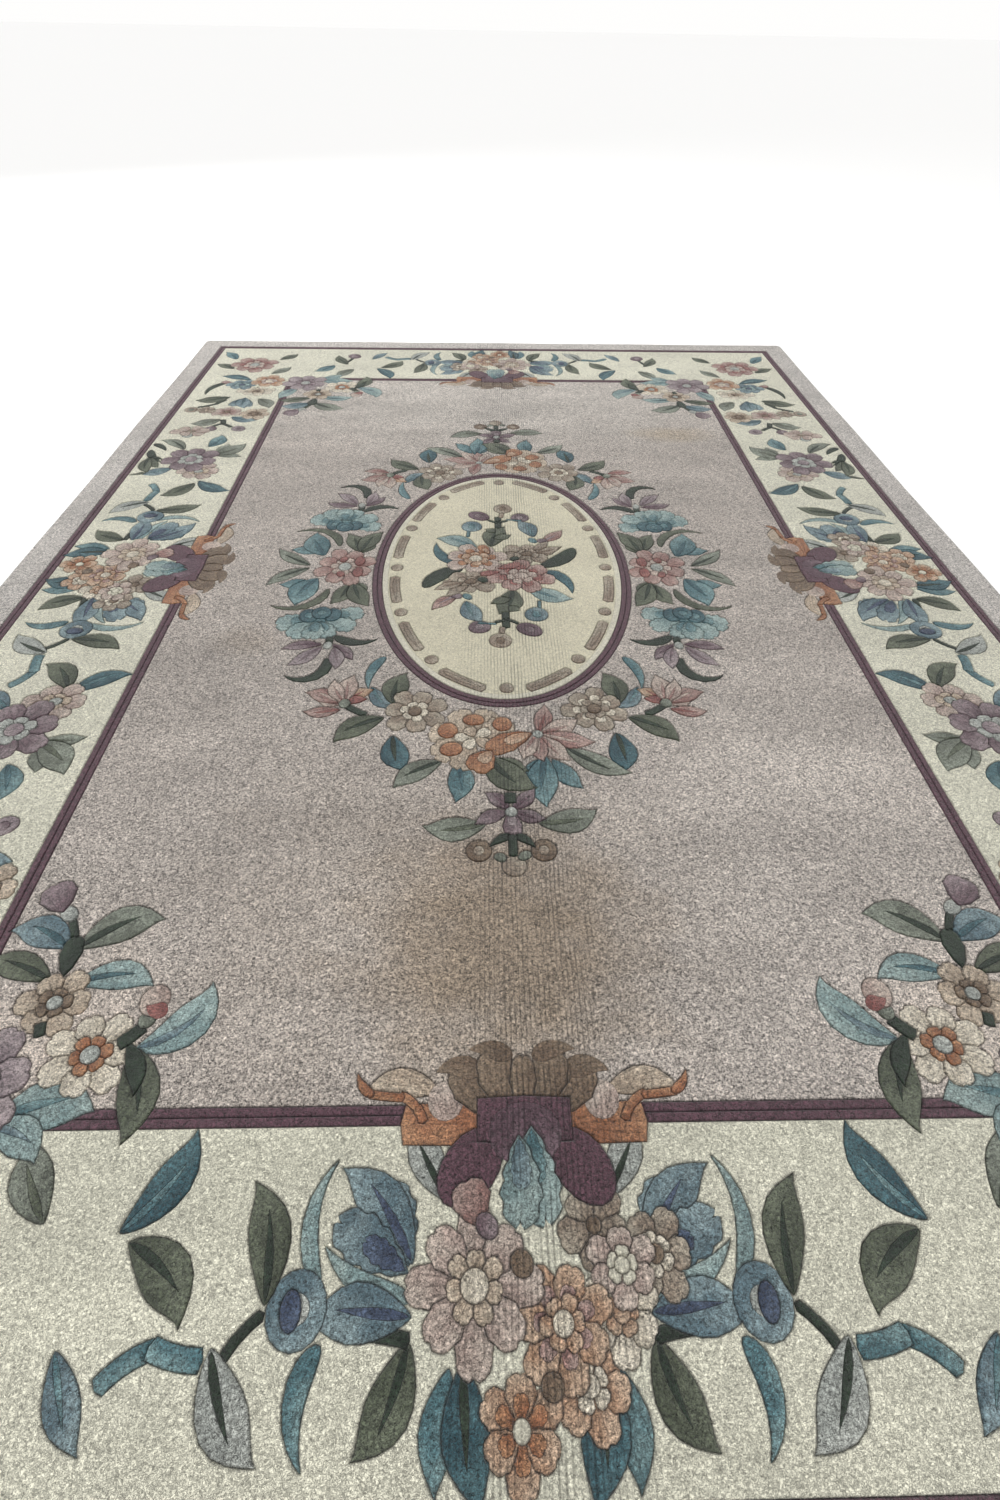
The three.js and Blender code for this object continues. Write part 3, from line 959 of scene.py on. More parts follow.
@dataclass
class Borders:
    """The flower borders: a vessel at the middle of each side and end, and flowers between.

    The vessel's charts put y at 0 in the middle of the border, and the others use the rug's own.
    """

    FOLIAGE = """
kind  x    y    tip_x tip_y width bend yarn      second
leaf  1020 -88  1112  -108  38    0    teal
leaf  1016 -74  1126  -66   50    0    deep_teal forest
leaf  872  -94  782   -146  42    -10  mist      forest
leaf  998  -132 1094  -172  48    -24  olive     forest
stem  998  -130 990   -188  14    10   forest
frill 934  -136 850   -164  44    0    blue      slate
leaf  932  -132 826   -214  54    20   blue      slate
frill 940  -136 888   -224  50    0    blue      slate
hook  962  -132 914   -232  26    -50  sea
hook  952  -232 828   -228  20    -80  sea
hook  1000 -224 1094  -228  25    85   teal
leaf  978  -130 968   -244  54    0    blue      slate
bud   934  -254 1006  -256  66    0    blue      mist
bud   952  -262 990   -260  23    0    slate
leaf  966  -290 844   -314  48    22   olive     forest
stem  972  -288 1046  -338  11    50   forest
leaf  1000 -338 1098  -282  50    24   mist      forest
stem  999  -392 1032  -448  19    40   teal
stem  1010 -344 998   -404  21    -24  teal
leaf  907  -456 977   -366  54    -34  olive     forest
leaf  898  -470 794   -398  48    35   deep_teal teal
"""
    VESSEL_FLOWERS = """
x    y   radius_x radius_y petals turn yarn  eye   heart  inner
926  144 48       44       6      30   taupe brown -      straw
898  76  44       42       5      0    taupe brown -      -
1036 58  46       46       6      20   peach straw -      straw
978  98  46       44       6      0    straw peach -      peach
936  104 40       42       6      0    blush ivory -      ivory
1068 -14 48       44       6      0    peach ivory orange -
986  34  58       56       7      10   peach straw pink   peach
952  -62 78       76       8      0    blush straw -      sand
"""
    VESSEL = """
kind  x    y    tip_x tip_y width bend yarn     second
leaf  752  108  740   208   38    -34  sand
leaf  752  -108 740   -208  38    34   sand
stem  790  56   788   157   48    0    orange
stem  790  -56  788   -157  48    0    orange
patch 786  100  738   102   46    0    blush
patch 786  -100 738   -102  46    0    blush
petal 780  44   718   90    46    0    brown
petal 780  -44  718   -90   46    0    brown
cap   730  56   727   115   30    -70  brown
cap   730  -56  727   -115  30    70   brown
petal 780  18   696   44    52    0    brown
petal 780  -18  696   -44   52    0    brown
cap   710  14   698   72    26    -50  brown
cap   710  -14  698   -72   26    50   brown
petal 782  0    704   0     34    0    brown
bud   798  36   874   100   66    0    plum
bud   798  -36  874   -100  66    0    plum
stem  756  0    812   0     120   0    plum
patch 764  0    838   0     92    0    mulberry
frill 792  8    900   22    52    12   sea      teal
frill 802  -8   902   -10   48    -12  sea      blue
stem  788  128  754   162   12    -60  orange
stem  788  -128 754   -162  12    60   orange
stem  757  154  752   202   11    8    orange
stem  757  -154 752   -202  11    -8   orange
hook  754  194  726   218   13    60   orange
hook  754  -194 726   -218  13    -60  orange
petal 898  -56  850   -74   46    0    pink
bud   886  -58  908   -38   24    0    mauve
bud   922  -18  944   0     26    0    brown
bud   1026 12   1046  26    24    0    brown
"""
    LONG_LEAVES = """
kind  x    y     tip_x tip_y width bend yarn      second
leaf  1002 -534  1082  -482  48    -14  blue      teal
leaf  896  -624  812   -622  34    -8   sage      olive
leaf  892  -630  862   -702  48    0    sage
leaf  900  -626  808   -700  60    10   sage      olive
leaf  932  -684  900   -774  54    20   teal      deep_teal
leaf  1004 -664  1092  -742  42    40   sage      forest
hook  1112 -704  1058  -654  22    -40  forest
hook  1106 -660  1048  -574  26    50   forest
hook  1090 -606  1050  -592  16    -30  forest
leaf  1084 -602  1050  -530  30    20   olive
leaf  1092 -606  1074  -498  40    30   olive     forest
hook  1070 -502  1116  -484  15    -20  olive
bud   1012 -756  1040  -790  34    0    mist      sage
stem  942  -902  932   -862  18    -10  forest
stem  934  -866  898   -838  13    -20  forest
stem  936  -866  962   -842  13    20   forest
bud   850  -816  894   -838  42    0    lilac     mauve
bud   944  -818  984   -832  40    0    mauve     lilac
leaf  950  -904  1036  -852  56    -20  sage      olive
leaf  918  -926  826   -888  46    26   blue      deep_teal
bud   1050 -974  1096  -994  46    0    taupe     sage
stem  1004 -1034 1058  -1006 13    -20  forest
stem  974  -1080 1004  -1032 16    10   forest
leaf  862  -1090 796   -1014 54    -14  sage      olive
petal 908  -1094 884   -1010 40    0    blue      teal
petal 914  -1094 946   -1018 40    0    blue      teal
leaf  912  -1100 908   -1000 54    0    blue      deep_teal
leaf  968  -1104 1080  -1056 60    -16  olive     forest
stem  886  -1206 890   -1176 12    0    forest
hook  1014 -1242 1062  -1124 26    70   forest
petal 990  -1236 1036  -1256 26    0    pink
leaf  932  -1276 1046  -1322 46    14   deep_teal teal
leaf  870  -1340 800   -1410 44    0    sage      olive
leaf  1024 -1392 1094  -1450 44    0    olive     forest
leaf  1040 -1500 1092  -1590 44    0    teal      deep_teal
leaf  868  -1500 800   -1560 44    0    olive     forest
"""
    LONG_FLOWERS = """
x    y     radius_x radius_y petals turn yarn  eye   heart  inner
916  -514  66       56       6      0    blush mist  -      sand
962  -594  88       86       7      10   mauve lilac -      mist
1022 -804  68       38       6      10   blush taupe -      -
846  -952  56       50       6      0    sand  brown -      brown
944  -968  56       42       6      30   blush brown pink   -
1020 -982  34       32       5      0    taupe sand  -      -
886  -1162 72       44       7      0    straw brown -      sand
954  -1226 58       50       6      0    blue  slate -      sea
862  -1264 66       62       6      20   peach straw orange blush
954  -1440 92       86       7      0    pink  mist  rose   blush
"""
    SHORT_LEAVES = """
kind x    y    tip_x tip_y width bend yarn   second
leaf 1000 -500 1084  -454  36    0    blue   teal
leaf 888  -560 802   -620  50    -12  sage   olive
bud  1010 -560 1060  -590  50    0    mauve  lilac
stem 960  -600 1010  -580  12    -20  forest
leaf 940  -590 1040  -650  44    14   olive  forest
leaf 930  -640 850   -700  50    12   teal   deep_teal
"""

    def shapes(self) -> list[Shape]:
        """Draws the borders.

        Returns:
            Their areas, from the back to the front.
        """
        layers = [
            (motifs(self.FOLIAGE), QUARTERS),
            (flowers(self.VESSEL_FLOWERS), HALVES),
            (motifs(self.VESSEL), HALVES),
        ]
        found = []
        for areas, moves in layers:
            found += placed(placed(areas, moves, ""), [TO_BORDER], "side_border")
            found += placed(placed(areas, [TO_END], ""), moves, "end_border")
        found += placed(motifs(self.LONG_LEAVES), QUARTERS, "side_border")
        found += placed(flowers(self.LONG_FLOWERS), QUARTERS, "side_border")
        found += placed(placed(motifs(self.SHORT_LEAVES), [TO_END], ""), QUARTERS, "end_border")
        return found


@dataclass
class CornerSprays:
    """The sprays that reach into the field from its four corners."""

    LEAVES = """
kind  x   y     tip_x tip_y width bend yarn   second
leaf  672 -1054 768   -1012 54    -34  blue   deep_teal
leaf  676 -1106 788   -1068 44    -24  olive  forest
leaf  656 -1056 546   -992  62    34   sage   forest
stem  660 -1060 688   -1002 12    -16  forest
petal 661 -1100 666   -1034 32    0    forest
leaf  640 -1112 522   -1104 46    44   sea    deep_teal
leaf  522 -1202 428   -1112 58    -70  sea    blue
leaf  528 -1200 488   -1320 54    34   olive  forest
leaf  668 -1290 546   -1264 66    30   sea    teal
leaf  672 -1296 590   -1330 46    34   sea    blue
leaf  744 -1196 802   -1100 50    0    sea    blue
"""
    BLOOMS = """
x   y     radius_x radius_y petals turn yarn  eye  heart inner
722 -1250 84       80       7      10   lilac mist -     mauve
657 -1138 54       50       6      0    sand  mist -     brown
580 -1210 64       60       7      20   straw mist -     orange
"""
    BUDS = """
kind  x   y     tip_x tip_y width bend yarn   second
stem  664 -1166 658   -1186 15    0    forest
bud   680 -1008 706   -986  24    0    mist
petal 704 -994  736   -942  54    0    mauve
leaf  536 -1194 498   -1262 26    24   forest
stem  520 -1172 548   -1198 19    16   forest
bud   508 -1168 530   -1158 26    0    sage
bud   496 -1138 538   -1134 46    0    blush
cap   494 -1150 526   -1144 24    50   rose
"""

    def shapes(self) -> list[Shape]:
        """Draws the sprays.

        Returns:
            Their areas, from the back to the front.
        """
        found = []
        for areas in (motifs(self.LEAVES), flowers(self.BLOOMS), motifs(self.BUDS)):
            found += placed(areas, QUARTERS, "corner_spray")
        return found


def lone_mesh(bm: bmesh.types.BMesh, name: str) -> bpy.types.Mesh:
    """Writes a bmesh to a new mesh and frees it.

    Args:
        bm: The bmesh.
        name: The new mesh's name.

    Returns:
        The mesh.
    """
    mesh = bpy.data.meshes.new(name)
    bm.to_mesh(mesh)
    bm.free()
    return mesh


def stack(rings: list[tuple[list[Vector], float]], mark: int) -> bmesh.types.BMesh:
    """Builds a closed block through level outlines, from the lowest up.

    Args:
        rings: Each outline in millimetres, and its height.
        mark: The number that its faces carry.

    Returns:
        The block.
    """
    bm = bmesh.new()
    bmesh.ops.create_circle(bm, cap_ends=True, segments=len(rings[0][0]), radius=1.0)
    face = bm.faces[:][0]
    for level, (outline, height) in enumerate(rings):
        if level > 0:
            grown = bmesh.ops.extrude_face_region(bm, geom=[face])
            lid = next(g for g in grown["geom"] if isinstance(g, bmesh.types.BMFace))
            if level > 1:
                bmesh.ops.delete(bm, geom=[face], context="FACES_ONLY")
            face = lid
        for vert, point in zip(face.verts, outline):
            vert.co = Vector((point.x, point.y, height)) * MM
    bmesh.ops.recalc_face_normals(bm, faces=bm.faces)
    marks = bm.faces.layers.int.new("area")
    for face in bm.faces:
        face[marks] = mark
    return bm


def linked(name: str, data: bpy.types.ID) -> bpy.types.Object:
    """Makes an object and links it to the scene.

    Args:
        name: The object's name.
        data: Its mesh, light or lens.

    Returns:
        The object.
    """
    made = bpy.data.objects.new(name, data)
    bpy.context.scene.collection.objects.link(made)
    return made


@dataclass
class Carver:
    """Cuts the pile into blocks, one for each area, with a clipped rim round each.

    The rim is given as shares of the groove's depth and half-width. Lengths are in millimetres,
    but those of the shortest edge and the tolerance are in metres.
    """

    floor: float = FOUNDATION_TOP
    top: float = PILE_TOP
    rim: tuple[Range, ...] = ((1.0, 0.0), (0.28, 0.42), (0.0, 1.0))
    edge_rounding: float = 4.0
    overshoot: float = 1.0
    cell: float = 90.0
    tolerance: float = 1e-7
    shortest_edge: float = 2e-5
    shapes: list[Shape] = field(default_factory=list)

    def block(self, number: int) -> bmesh.types.BMesh:
        """Builds an area's block of pile, with its clipped rim, or the rug's rounded one.

        Args:
            number: The area's place in the list of shapes.

        Returns:
            The block.
        """
        shape = self.shapes[number]
        depth, inset = GROOVE_DEPTH * shape.carve, GROOVE_HALF * shape.carve
        if number == 0:
            depth = inset = self.edge_rounding
        rings = [(shape.outline(0.0), self.floor)]
        rings += [(shape.outline(-inset * out), self.top - depth * down) for down, out in self.rim]
        block = stack(rings, number)
        if not isinstance(shape, Area):
            self.part_into_cells(block)
        return block

    def part_into_cells(self, block: bmesh.types.BMesh) -> None:
        """Parts a ground's faces along a square grid, so that none is cut by too many motifs.

        Args:
            block: The ground's block.
        """
        for axis in (Vector((1.0, 0.0, 0.0)), Vector((0.0, 1.0, 0.0))):
            half = int(LENGTH / 2.0 / self.cell) + 1
            for i in range(-half, half + 1):
                faces = block.verts[:] + block.edges[:] + block.faces[:]
                place = axis * (i + 0.5) * self.cell * MM
                bmesh.ops.bisect_plane(
                    block, geom=faces, dist=self.tolerance, plane_co=place, plane_no=axis
                )

    def cutter(self, number: int) -> bmesh.types.BMesh:
        """Builds what an area takes away from those it lies on.

        Args:
            number: The area's place in the list of shapes.

        Returns:
            The cutter, whose walls lean out above the groove's bottom.
        """
        shape = self.shapes[number]
        depth, reach = GROOVE_DEPTH * shape.carve, GROOVE_HALF * shape.carve
        outline = shape.outline(0.0)
        flare = shape.outline(reach * (1.0 + self.overshoot / depth))
        rings = [
            (outline, self.floor - self.overshoot),
            (outline, self.top - depth),
            (flare, self.top + self.overshoot),
        ]
        return stack(rings, -1)

    def layers(self) -> list[list[int]]:
        """Sorts the shapes into layers, so that no two of a layer meet.

        Returns:
            The numbers of each layer's shapes, from the lowest layer to the highest.
        """
        discs: dict[int, list[Disc]] = {}
        boxes: dict[int, Box] = {}
        level: dict[int, int] = {}
        grounds = 0
        for number, shape in enumerate(self.shapes):
            if not isinstance(shape, Area):
                level[number] = grounds
                grounds += 1
                continue
            own = shape.discs()
            box = self._box(own)
            height = grounds
            for other, theirs in boxes.items():
                if level[other] < height or self._apart(box, theirs):
                    continue
                if self._meet(own, discs[other]):
                    height = level[other] + 1
            discs[number], boxes[number], level[number] = own, box, height
        found: list[list[int]] = [[] for _ in range(max(level.values()) + 1)]
        for number, height in level.items():
            found[height].append(number)
        return found

    def _box(self, discs: list[Disc]) -> Box:
        """Finds the box round discs.

        Args:
            discs: The discs.

        Returns:
            The box.
        """
        lows = (min(x - r for x, _, r in discs), min(y - r for _, y, r in discs))
        highs = (max(x + r for x, _, r in discs), max(y + r for _, y, r in discs))
        return lows[0], highs[0], lows[1], highs[1]

    def _apart(self, box: Box, other: Box) -> bool:
        """Returns whether there is a gap between two boxes."""
        beside = box[1] < other[0] or other[1] < box[0]
        return beside or box[3] < other[2] or other[3] < box[2]

    def _meet(self, these: list[Disc], those: list[Disc]) -> bool:
        """Finds out whether two areas meet.

        Args:
            these: The first one's discs.
            those: The other's discs.

        Returns:
            Whether any two discs overlap.
        """
        return any(
            (x - u) ** 2 + (y - v) ** 2 < (r + s) ** 2 for x, y, r in these for u, v, s in those
        )

    def joined(self, blocks: list[bmesh.types.BMesh], name: str) -> bpy.types.Object:
        """Joins blocks into one object.

        Args:
            blocks: The blocks, which are freed.
            name: The object's name.

        Returns:
            The object, linked to the scene.
        """
        bm = bmesh.new()
        for block in blocks:
            mesh = lone_mesh(block, "block")
            bm.from_mesh(mesh)
            bpy.data.meshes.remove(mesh)
        return linked(name, lone_mesh(bm, name))

    def boolean(self, body: bpy.types.Object, tool: bpy.types.Object, operation: str) -> None:
        """Cuts a body by a tool, or joins them, and keeps the result as the body's mesh.

        Args:
            body: The object whose mesh changes.
            tool: The other object.
            operation: DIFFERENCE or UNION.
        """
        modifier = body.modifiers.new("carve", "BOOLEAN")
        modifier.solver = "MANIFOLD"
        modifier.operation = operation
        modifier.object = tool
        depsgraph = bpy.context.evaluated_depsgraph_get()
        result = bpy.data.meshes.new_from_object(body.evaluated_get(depsgraph))
        body.modifiers.clear()
        old, body.data = body.data, result
        bpy.data.meshes.remove(old)

    def carve(self) -> bmesh.types.BMesh:
        """Carves every layer by what lies on it.

        Returns:
            The whole pile, whose faces carry the numbers of their areas.
        """
        layers = self.layers()
        LOG.info("%d areas in %d layers", len(self.shapes), len(layers))
        pile = bmesh.new()
        above: bpy.types.Object | None = None
        for numbers in reversed(layers):
            body = self.joined([self.block(n) for n in numbers], "pile")
            cutters = self.joined([self.cutter(n) for n in numbers], "cutters")
            if above is None:
                above = cutters
            else:
                self.boolean(body, above, "DIFFERENCE")
                self.boolean(above, cutters, "UNION")
                bpy.data.objects.remove(cutters)
            pile.from_mesh(body.data)
            bpy.data.objects.remove(body)
        bpy.data.objects.remove(above)
        self.mark_islands(pile)
        bmesh.ops.dissolve_degenerate(pile, dist=self.shortest_edge, edges=pile.edges)
        return pile

    def mark_islands(self, pile: bmesh.types.BMesh) -> None:
        """Gives the walls that were cut into a block the number of that block's area.

        Args:
            pile: The pile, whose faces carry numbers.
        """
        marks = pile.faces.layers.int["area"]
        stray = []
        for island in self.islands(pile):
            number = max(face[marks] for face in island)
            for face in island:
                face[marks] = number
            if number < 0:
                stray += island
        bmesh.ops.delete(pile, geom=stray, context="FACES")

    def islands(self, bm: bmesh.types.BMesh) -> list[list[bmesh.types.BMFace]]:
        """Sorts faces by the block that they belong to.

        Args:
            bm: The bmesh.

        Returns:
            The faces of each block that hangs together.
        """
        seen: set[bmesh.types.BMFace] = set()
        found = []
        for start in bm.faces:
            if start in seen:
                continue
            seen.add(start)
            island, todo = [], [start]
            while todo:
                face = todo.pop()
                island.append(face)
                for edge in face.edges:
                    for beside in edge.link_faces:
                        if beside not in seen:
                            seen.add(beside)
                            todo.append(beside)
            found.append(island)
        return found


@dataclass(frozen=True)
class Noise:
    """A noise over the rug: its scale along each axis, and how fine it is.

    Where it has values, its greys from a low one to a high one are mapped to them.
    """

    scale: Triple
    detail: float
    values: Range | None = None
    greys: Range = (0.3, 0.7)
    distortion: float = 0.0


class Bench:
    """Puts nodes into one node tree and joins them up."""

    def __init__(self, tree: bpy.types.NodeTree) -> None:
        """Takes the tree to work on."""
        self.tree = tree

    def node(
        self, kind: str, inputs: dict[str | int, object] | None = None, **settings: object
    ) -> bpy.types.Node:
        """Adds a node.

        Args:
            kind: The node's type, without its ShaderNode prefix.
            inputs: A value, or a socket to link from, for each named input.
            settings: The node's own settings.

        Returns:
            The node.
        """
        made = self.tree.nodes.new(kind if kind.startswith("Node") else f"ShaderNode{kind}")
        for name, value in settings.items():
            setattr(made, name, value)
        self.fill(made, inputs or {})
        return made

    def fill(self, node: bpy.types.Node, inputs: dict[str | int, object]) -> None:
        """Gives a node's inputs their values, or links them.

        Args:
            node: The node.
            inputs: A value, or a socket to link from, for each named input.
        """
        for name, value in inputs.items():
            if isinstance(value, Socket):
                self.tree.links.new(value, node.inputs[name])
            else:
                node.inputs[name].default_value = value

    def math(self, operation: str, *values: object) -> Socket:
        """Adds a Math node and returns its result."""
        return self.node("Math", dict(enumerate(values)), operation=operation).outputs[0]

    def plus(self, first: object, *others: object) -> Socket:
        """Adds values up.

        Args:
            first: The first value.
            others: The others.

        Returns:
            The sum.
        """
        for other in others:
            first = self.math("ADD", first, other)
        return first

    def minus(self, first: object, second: object) -> Socket:
        """Takes the second value from the first."""
        return self.math("SUBTRACT", first, second)

    def times(self, first: object, *others: object) -> Socket:
        """Multiplies values.

        Args:
            first: The first value.
            others: The others.

        Returns:
            The product.
        """
        for other in others:
            first = self.math("MULTIPLY", first, other)
        return first

    def distance(self, value: object, middle: float) -> Socket:
        """Returns how far a value is from a middle one."""
        return self.math("ABSOLUTE", self.minus(value, middle))

    def ramp(self, value: object, start: Range, end: Range) -> Socket:
        """Maps a value from one range, to which it is held, to another."""
        return self.node("MapRange", dict(enumerate((value, *start, *end)))).outputs[0]

    def blend(self, share: object, first: object, second: object) -> Socket:
        """Mixes two colours by a share and returns the result."""
        inputs = {0: share, 6: first, 7: second}
        return self.node("Mix", inputs, data_type="RGBA").outputs[2]

    def vector(self, operation: str, first: object, second: object) -> Socket:
        """Adds a Vector Math node, which colours go through too, and returns its result."""
        return self.node("VectorMath", {0: first, 1: second}, operation=operation).outputs[0]

    def toned(self, colour: object, tone: Socket) -> Socket:
        """Returns a colour made darker or paler by a tone."""
        grey = self.node("CombineXYZ", {0: tone, 1: tone, 2: tone}).outputs[0]
        return self.vector("MULTIPLY", colour, grey)

    def bump(self, height: Socket, distance: float, strength: float) -> Socket:
        """Returns the normal of a bumpy surface."""
        inputs = {"Height": height, "Distance": distance, "Strength": strength}
        return self.node("Bump", inputs).outputs["Normal"]

    def place(self, axis: str) -> Socket:
        """Returns the place along one of the object's axes."""
        coordinates = self.node("TexCoord").outputs["Object"]
        return self.node("SeparateXYZ", {0: coordinates}).outputs[axis]

    def stretched(self, scale: Triple) -> Socket:
        """Returns the object's coordinates, scaled for each axis."""
        place = self.node("TexCoord").outputs["Object"]
        return self.node("Mapping", {"Vector": place, "Scale": scale}).outputs["Vector"]

    def noise(self, noise: Noise) -> Socket:
        """Adds a noise.

        Args:
            noise: The noise.

        Returns:
            Its values, or its greys where it has none.
        """
        inputs = {"Vector": self.stretched(noise.scale), "Scale": 1.0, "Detail": noise.detail}
        made = self.node("TexNoise", {**inputs, "Distortion": noise.distortion}).outputs["Fac"]
        return made if noise.values is None else self.ramp(made, noise.greys, noise.values)


class GroupBench(Bench):
    """Builds a new node group of plain numbers."""

    def __init__(self, name: str, inputs: list[str], outputs: list[str]) -> None:
        """Starts the group.

        Args:
            name: The group's name.
            inputs: The names of its inputs.
            outputs: The names of its outputs.
        """
        super().__init__(bpy.data.node_groups.new(name, "ShaderNodeTree"))
        for words, side in ((inputs, "INPUT"), (outputs, "OUTPUT")):
            for word in words:
                self.tree.interface.new_socket(word, in_out=side, socket_type="NodeSocketFloat")
        self.given = self.node("NodeGroupInput").outputs
        self.results = self.node("NodeGroupOutput")

    def give(self, **results: Socket) -> None:
        """Links the results to the group's outputs of the same names."""
        self.fill(self.results, results)


class MaterialBench(Bench):
    """Builds a new material round its Principled shader."""

    def __init__(self, name: str) -> None:
        """Starts the material.

        Args:
            name: Its name.
        """
        self.material = bpy.data.materials.new(name)
        self.material.use_nodes = True
        super().__init__(self.material.node_tree)

    def surface(self, **inputs: object) -> bpy.types.Material:
        """Sets the shader's inputs.

        Args:
            inputs: A value or socket for each, whose name has low lines for spaces.

        Returns:
            The material.
        """
        named = {name.replace("_", " "): value for name, value in inputs.items()}
        self.fill(self.tree.nodes["Principled BSDF"], named)
        return self.material


@dataclass
class Effects:
    """The effects that the yarns share, each one a node group built once.

    Lengths are in metres, and scales in steps to the metre. The ranges are those of ramps.
    """

    tuft_pitch: Range = (0.0026, 0.0024)
    tuft_scale_up: float = 60.0
    tuft_wobble: Triple = (2.6, 2.6, 2.6)
    wobble_scale: float = 0.9
    fibres: Noise = Noise((310.0, 360.0, 30.0), 2.0, distortion=1.4)
    fibre_gap: Range = (0.0, 0.08)
    gap_shade: Range = (-1.1, 1.0)
    clumps: Noise = Noise((300.0, 380.0, 30.0), 2.0, (-0.5, 0.5))
    darkest_tuft: float = 0.12
    lift: float = 0.5

    light_side: float = 0.3
    light_tip: float = 0.7
    light_clouds: Noise = Noise((45.0, 45.0, 10.0), 3.0, (-0.3, 0.3))
    light_edge: Range = (0.15, 0.75)
    rib_foot: tuple[Range, Range] = ((0.0, 0.6), (0.25, 1.0))
    rib_edge: Range = (0.06, 0.16)
    rib_start: Range = (0.1, 0.2)
    rib_end: Range = (0.6, 0.8)

    bands: Noise = Noise((0.9, 5.5, 1.0), 3.0)
    clouds: Noise = Noise((5.0, 9.0, 1.0), 4.0)
    bands_share: float = 0.6
    abrash_greys: Range = (0.36, 0.64)

    row_pitch: float = 0.0071
    rows_centre: float = 0.025
    rows_half: float = 0.15
    rows_core: float = 0.25
    row_sway: float = 0.004
    row_drift: Noise = Noise((3.0, 14.0, 1.0), 2.0)
    row_patches: Noise = Noise((30.0, 9.0, 1.0), 3.0, (0.3, 1.0), greys=(0.38, 0.62))
    row_crest: float = 0.2
    row_shade: float = 0.5
    row_depth: float = 1.5

    shade_depth: float = 0.85
    shade_rim: float = 0.1

    # The ragged ovals of the stains, and of the pale patches of painted light.
    stain_or_light_edge: Noise = Noise((11.0, 14.0, 1.0), 4.0)
    stain_or_light_raggedness: float = 0.9
    stain_or_light_fade: Range = (1.05, 0.35)

    groups: dict[str, bpy.types.NodeTree] = field(default_factory=dict)

    def build(self) -> None:
        """Builds all the groups."""
        self._tufts()
        self._abrash()
        self._worn_rows()
        self._groove()
        self._stain()
        self._motif()

    def _group(self, name: str, inputs: list[str], outputs: list[str]) -> GroupBench:
        """Starts a group and keeps it by its name.

        Args:
            name: The group's name.
            inputs: The names of its inputs.
            outputs: The names of its outputs.

        Returns:
            A bench for it.
        """
        bench = GroupBench(name, inputs, outputs)
        self.groups[name] = bench.tree
        return bench

    def _tufts(self) -> None:
        """Cut tufts: each has its own shade, and a domed end."""
        bench = self._group("tufts", ["Fleck"], ["Tone", "Height"])
        across, along = self.tuft_pitch
        place = bench.stretched((1.0 / across, 1.0 / along, self.tuft_scale_up))
        wobble = {"Vector": place, "Scale": self.wobble_scale, "Detail": 2.0}
        drift = bench.node("TexNoise", wobble).outputs["Color"]
        moved = bench.vector("ADD", place, bench.vector("MULTIPLY", drift, self.tuft_wobble))
        cells = bench.node("TexVoronoi", {"Vector": moved, "Scale": 1.0})
        own = bench.node("SeparateColor", {"Color": cells.outputs["Color"]}).outputs[0]
        gap = bench.ramp(bench.distance(bench.noise(self.fibres), 0.5), self.fibre_gap, self.gap_shade)
        spread = bench.plus(bench.ramp(own, ZERO_TO_ONE, (-1.0, 1.0)), gap, bench.noise(self.clumps))
        tone = bench.math("MULTIPLY_ADD", spread, bench.given["Fleck"], 1.0)
        tone = bench.math("MAXIMUM", tone, self.darkest_tuft)
        dome = bench.minus(1.0, cells.outputs["Distance"])
        bench.give(Tone=tone, Height=bench.plus(dome, bench.times(spread, self.lift)))

    def _motif(self) -> None:
        """A motif's own painted light and shade: a lit side and tip, dark lines painted as the shade
        of carved lines, and its dye lot.
        """
        bench = self._group("motif", ["Lines", "Ribs", "Lot"], ["Second", "Tone"])
        space = bench.node("SeparateXYZ", {0: bench.node("UVMap", uv_map="motif").outputs["UV"]})
        along, across = space.outputs["X"], space.outputs["Y"]
        lit = bench.plus(bench.times(across, self.light_side), bench.times(along, self.light_tip))
        lit = bench.plus(lit, bench.noise(self.light_clouds))
        spread = bench.math("DIVIDE", across, bench.ramp(along, *self.rib_foot))
        saw = bench.math("FRACT", bench.math("MULTIPLY_ADD", spread, bench.given["Ribs"], 0.5))
        ray = bench.ramp(bench.distance(saw, 0.5), self.rib_edge, ONE_TO_ZERO)
        start = bench.ramp(along, self.rib_start, ZERO_TO_ONE)
        end = bench.ramp(along, self.rib_end, ONE_TO_ZERO)
        rays = bench.times(ray, bench.times(start, end), bench.given["Lines"])
        lot = bench.node("Attribute", attribute_name="lot").outputs["Fac"]
        shade = bench.times(bench.minus(lot, 0.5), bench.given["Lot"])
        tone = bench.times(bench.minus(1.0, rays), bench.plus(1.0, shade))
        bench.give(Second=bench.ramp(lit, self.light_edge, ZERO_TO_ONE), Tone=tone)

    def _abrash(self) -> None:
        """Broad bands and clouds where the dye lots and the pile's lie change."""
        bench = self._group("abrash", ["Amount"], ["Tone"])
        bands = bench.times(bench.noise(self.bands), self.bands_share)
        clouds = bench.times(bench.noise(self.clouds), 1.0 - self.bands_share)
        spread = bench.ramp(bench.plus(bands, clouds), self.abrash_greys, (-1.0, 1.0))
        bench.give(Tone=bench.plus(1.0, bench.times(spread, bench.given["Amount"])))

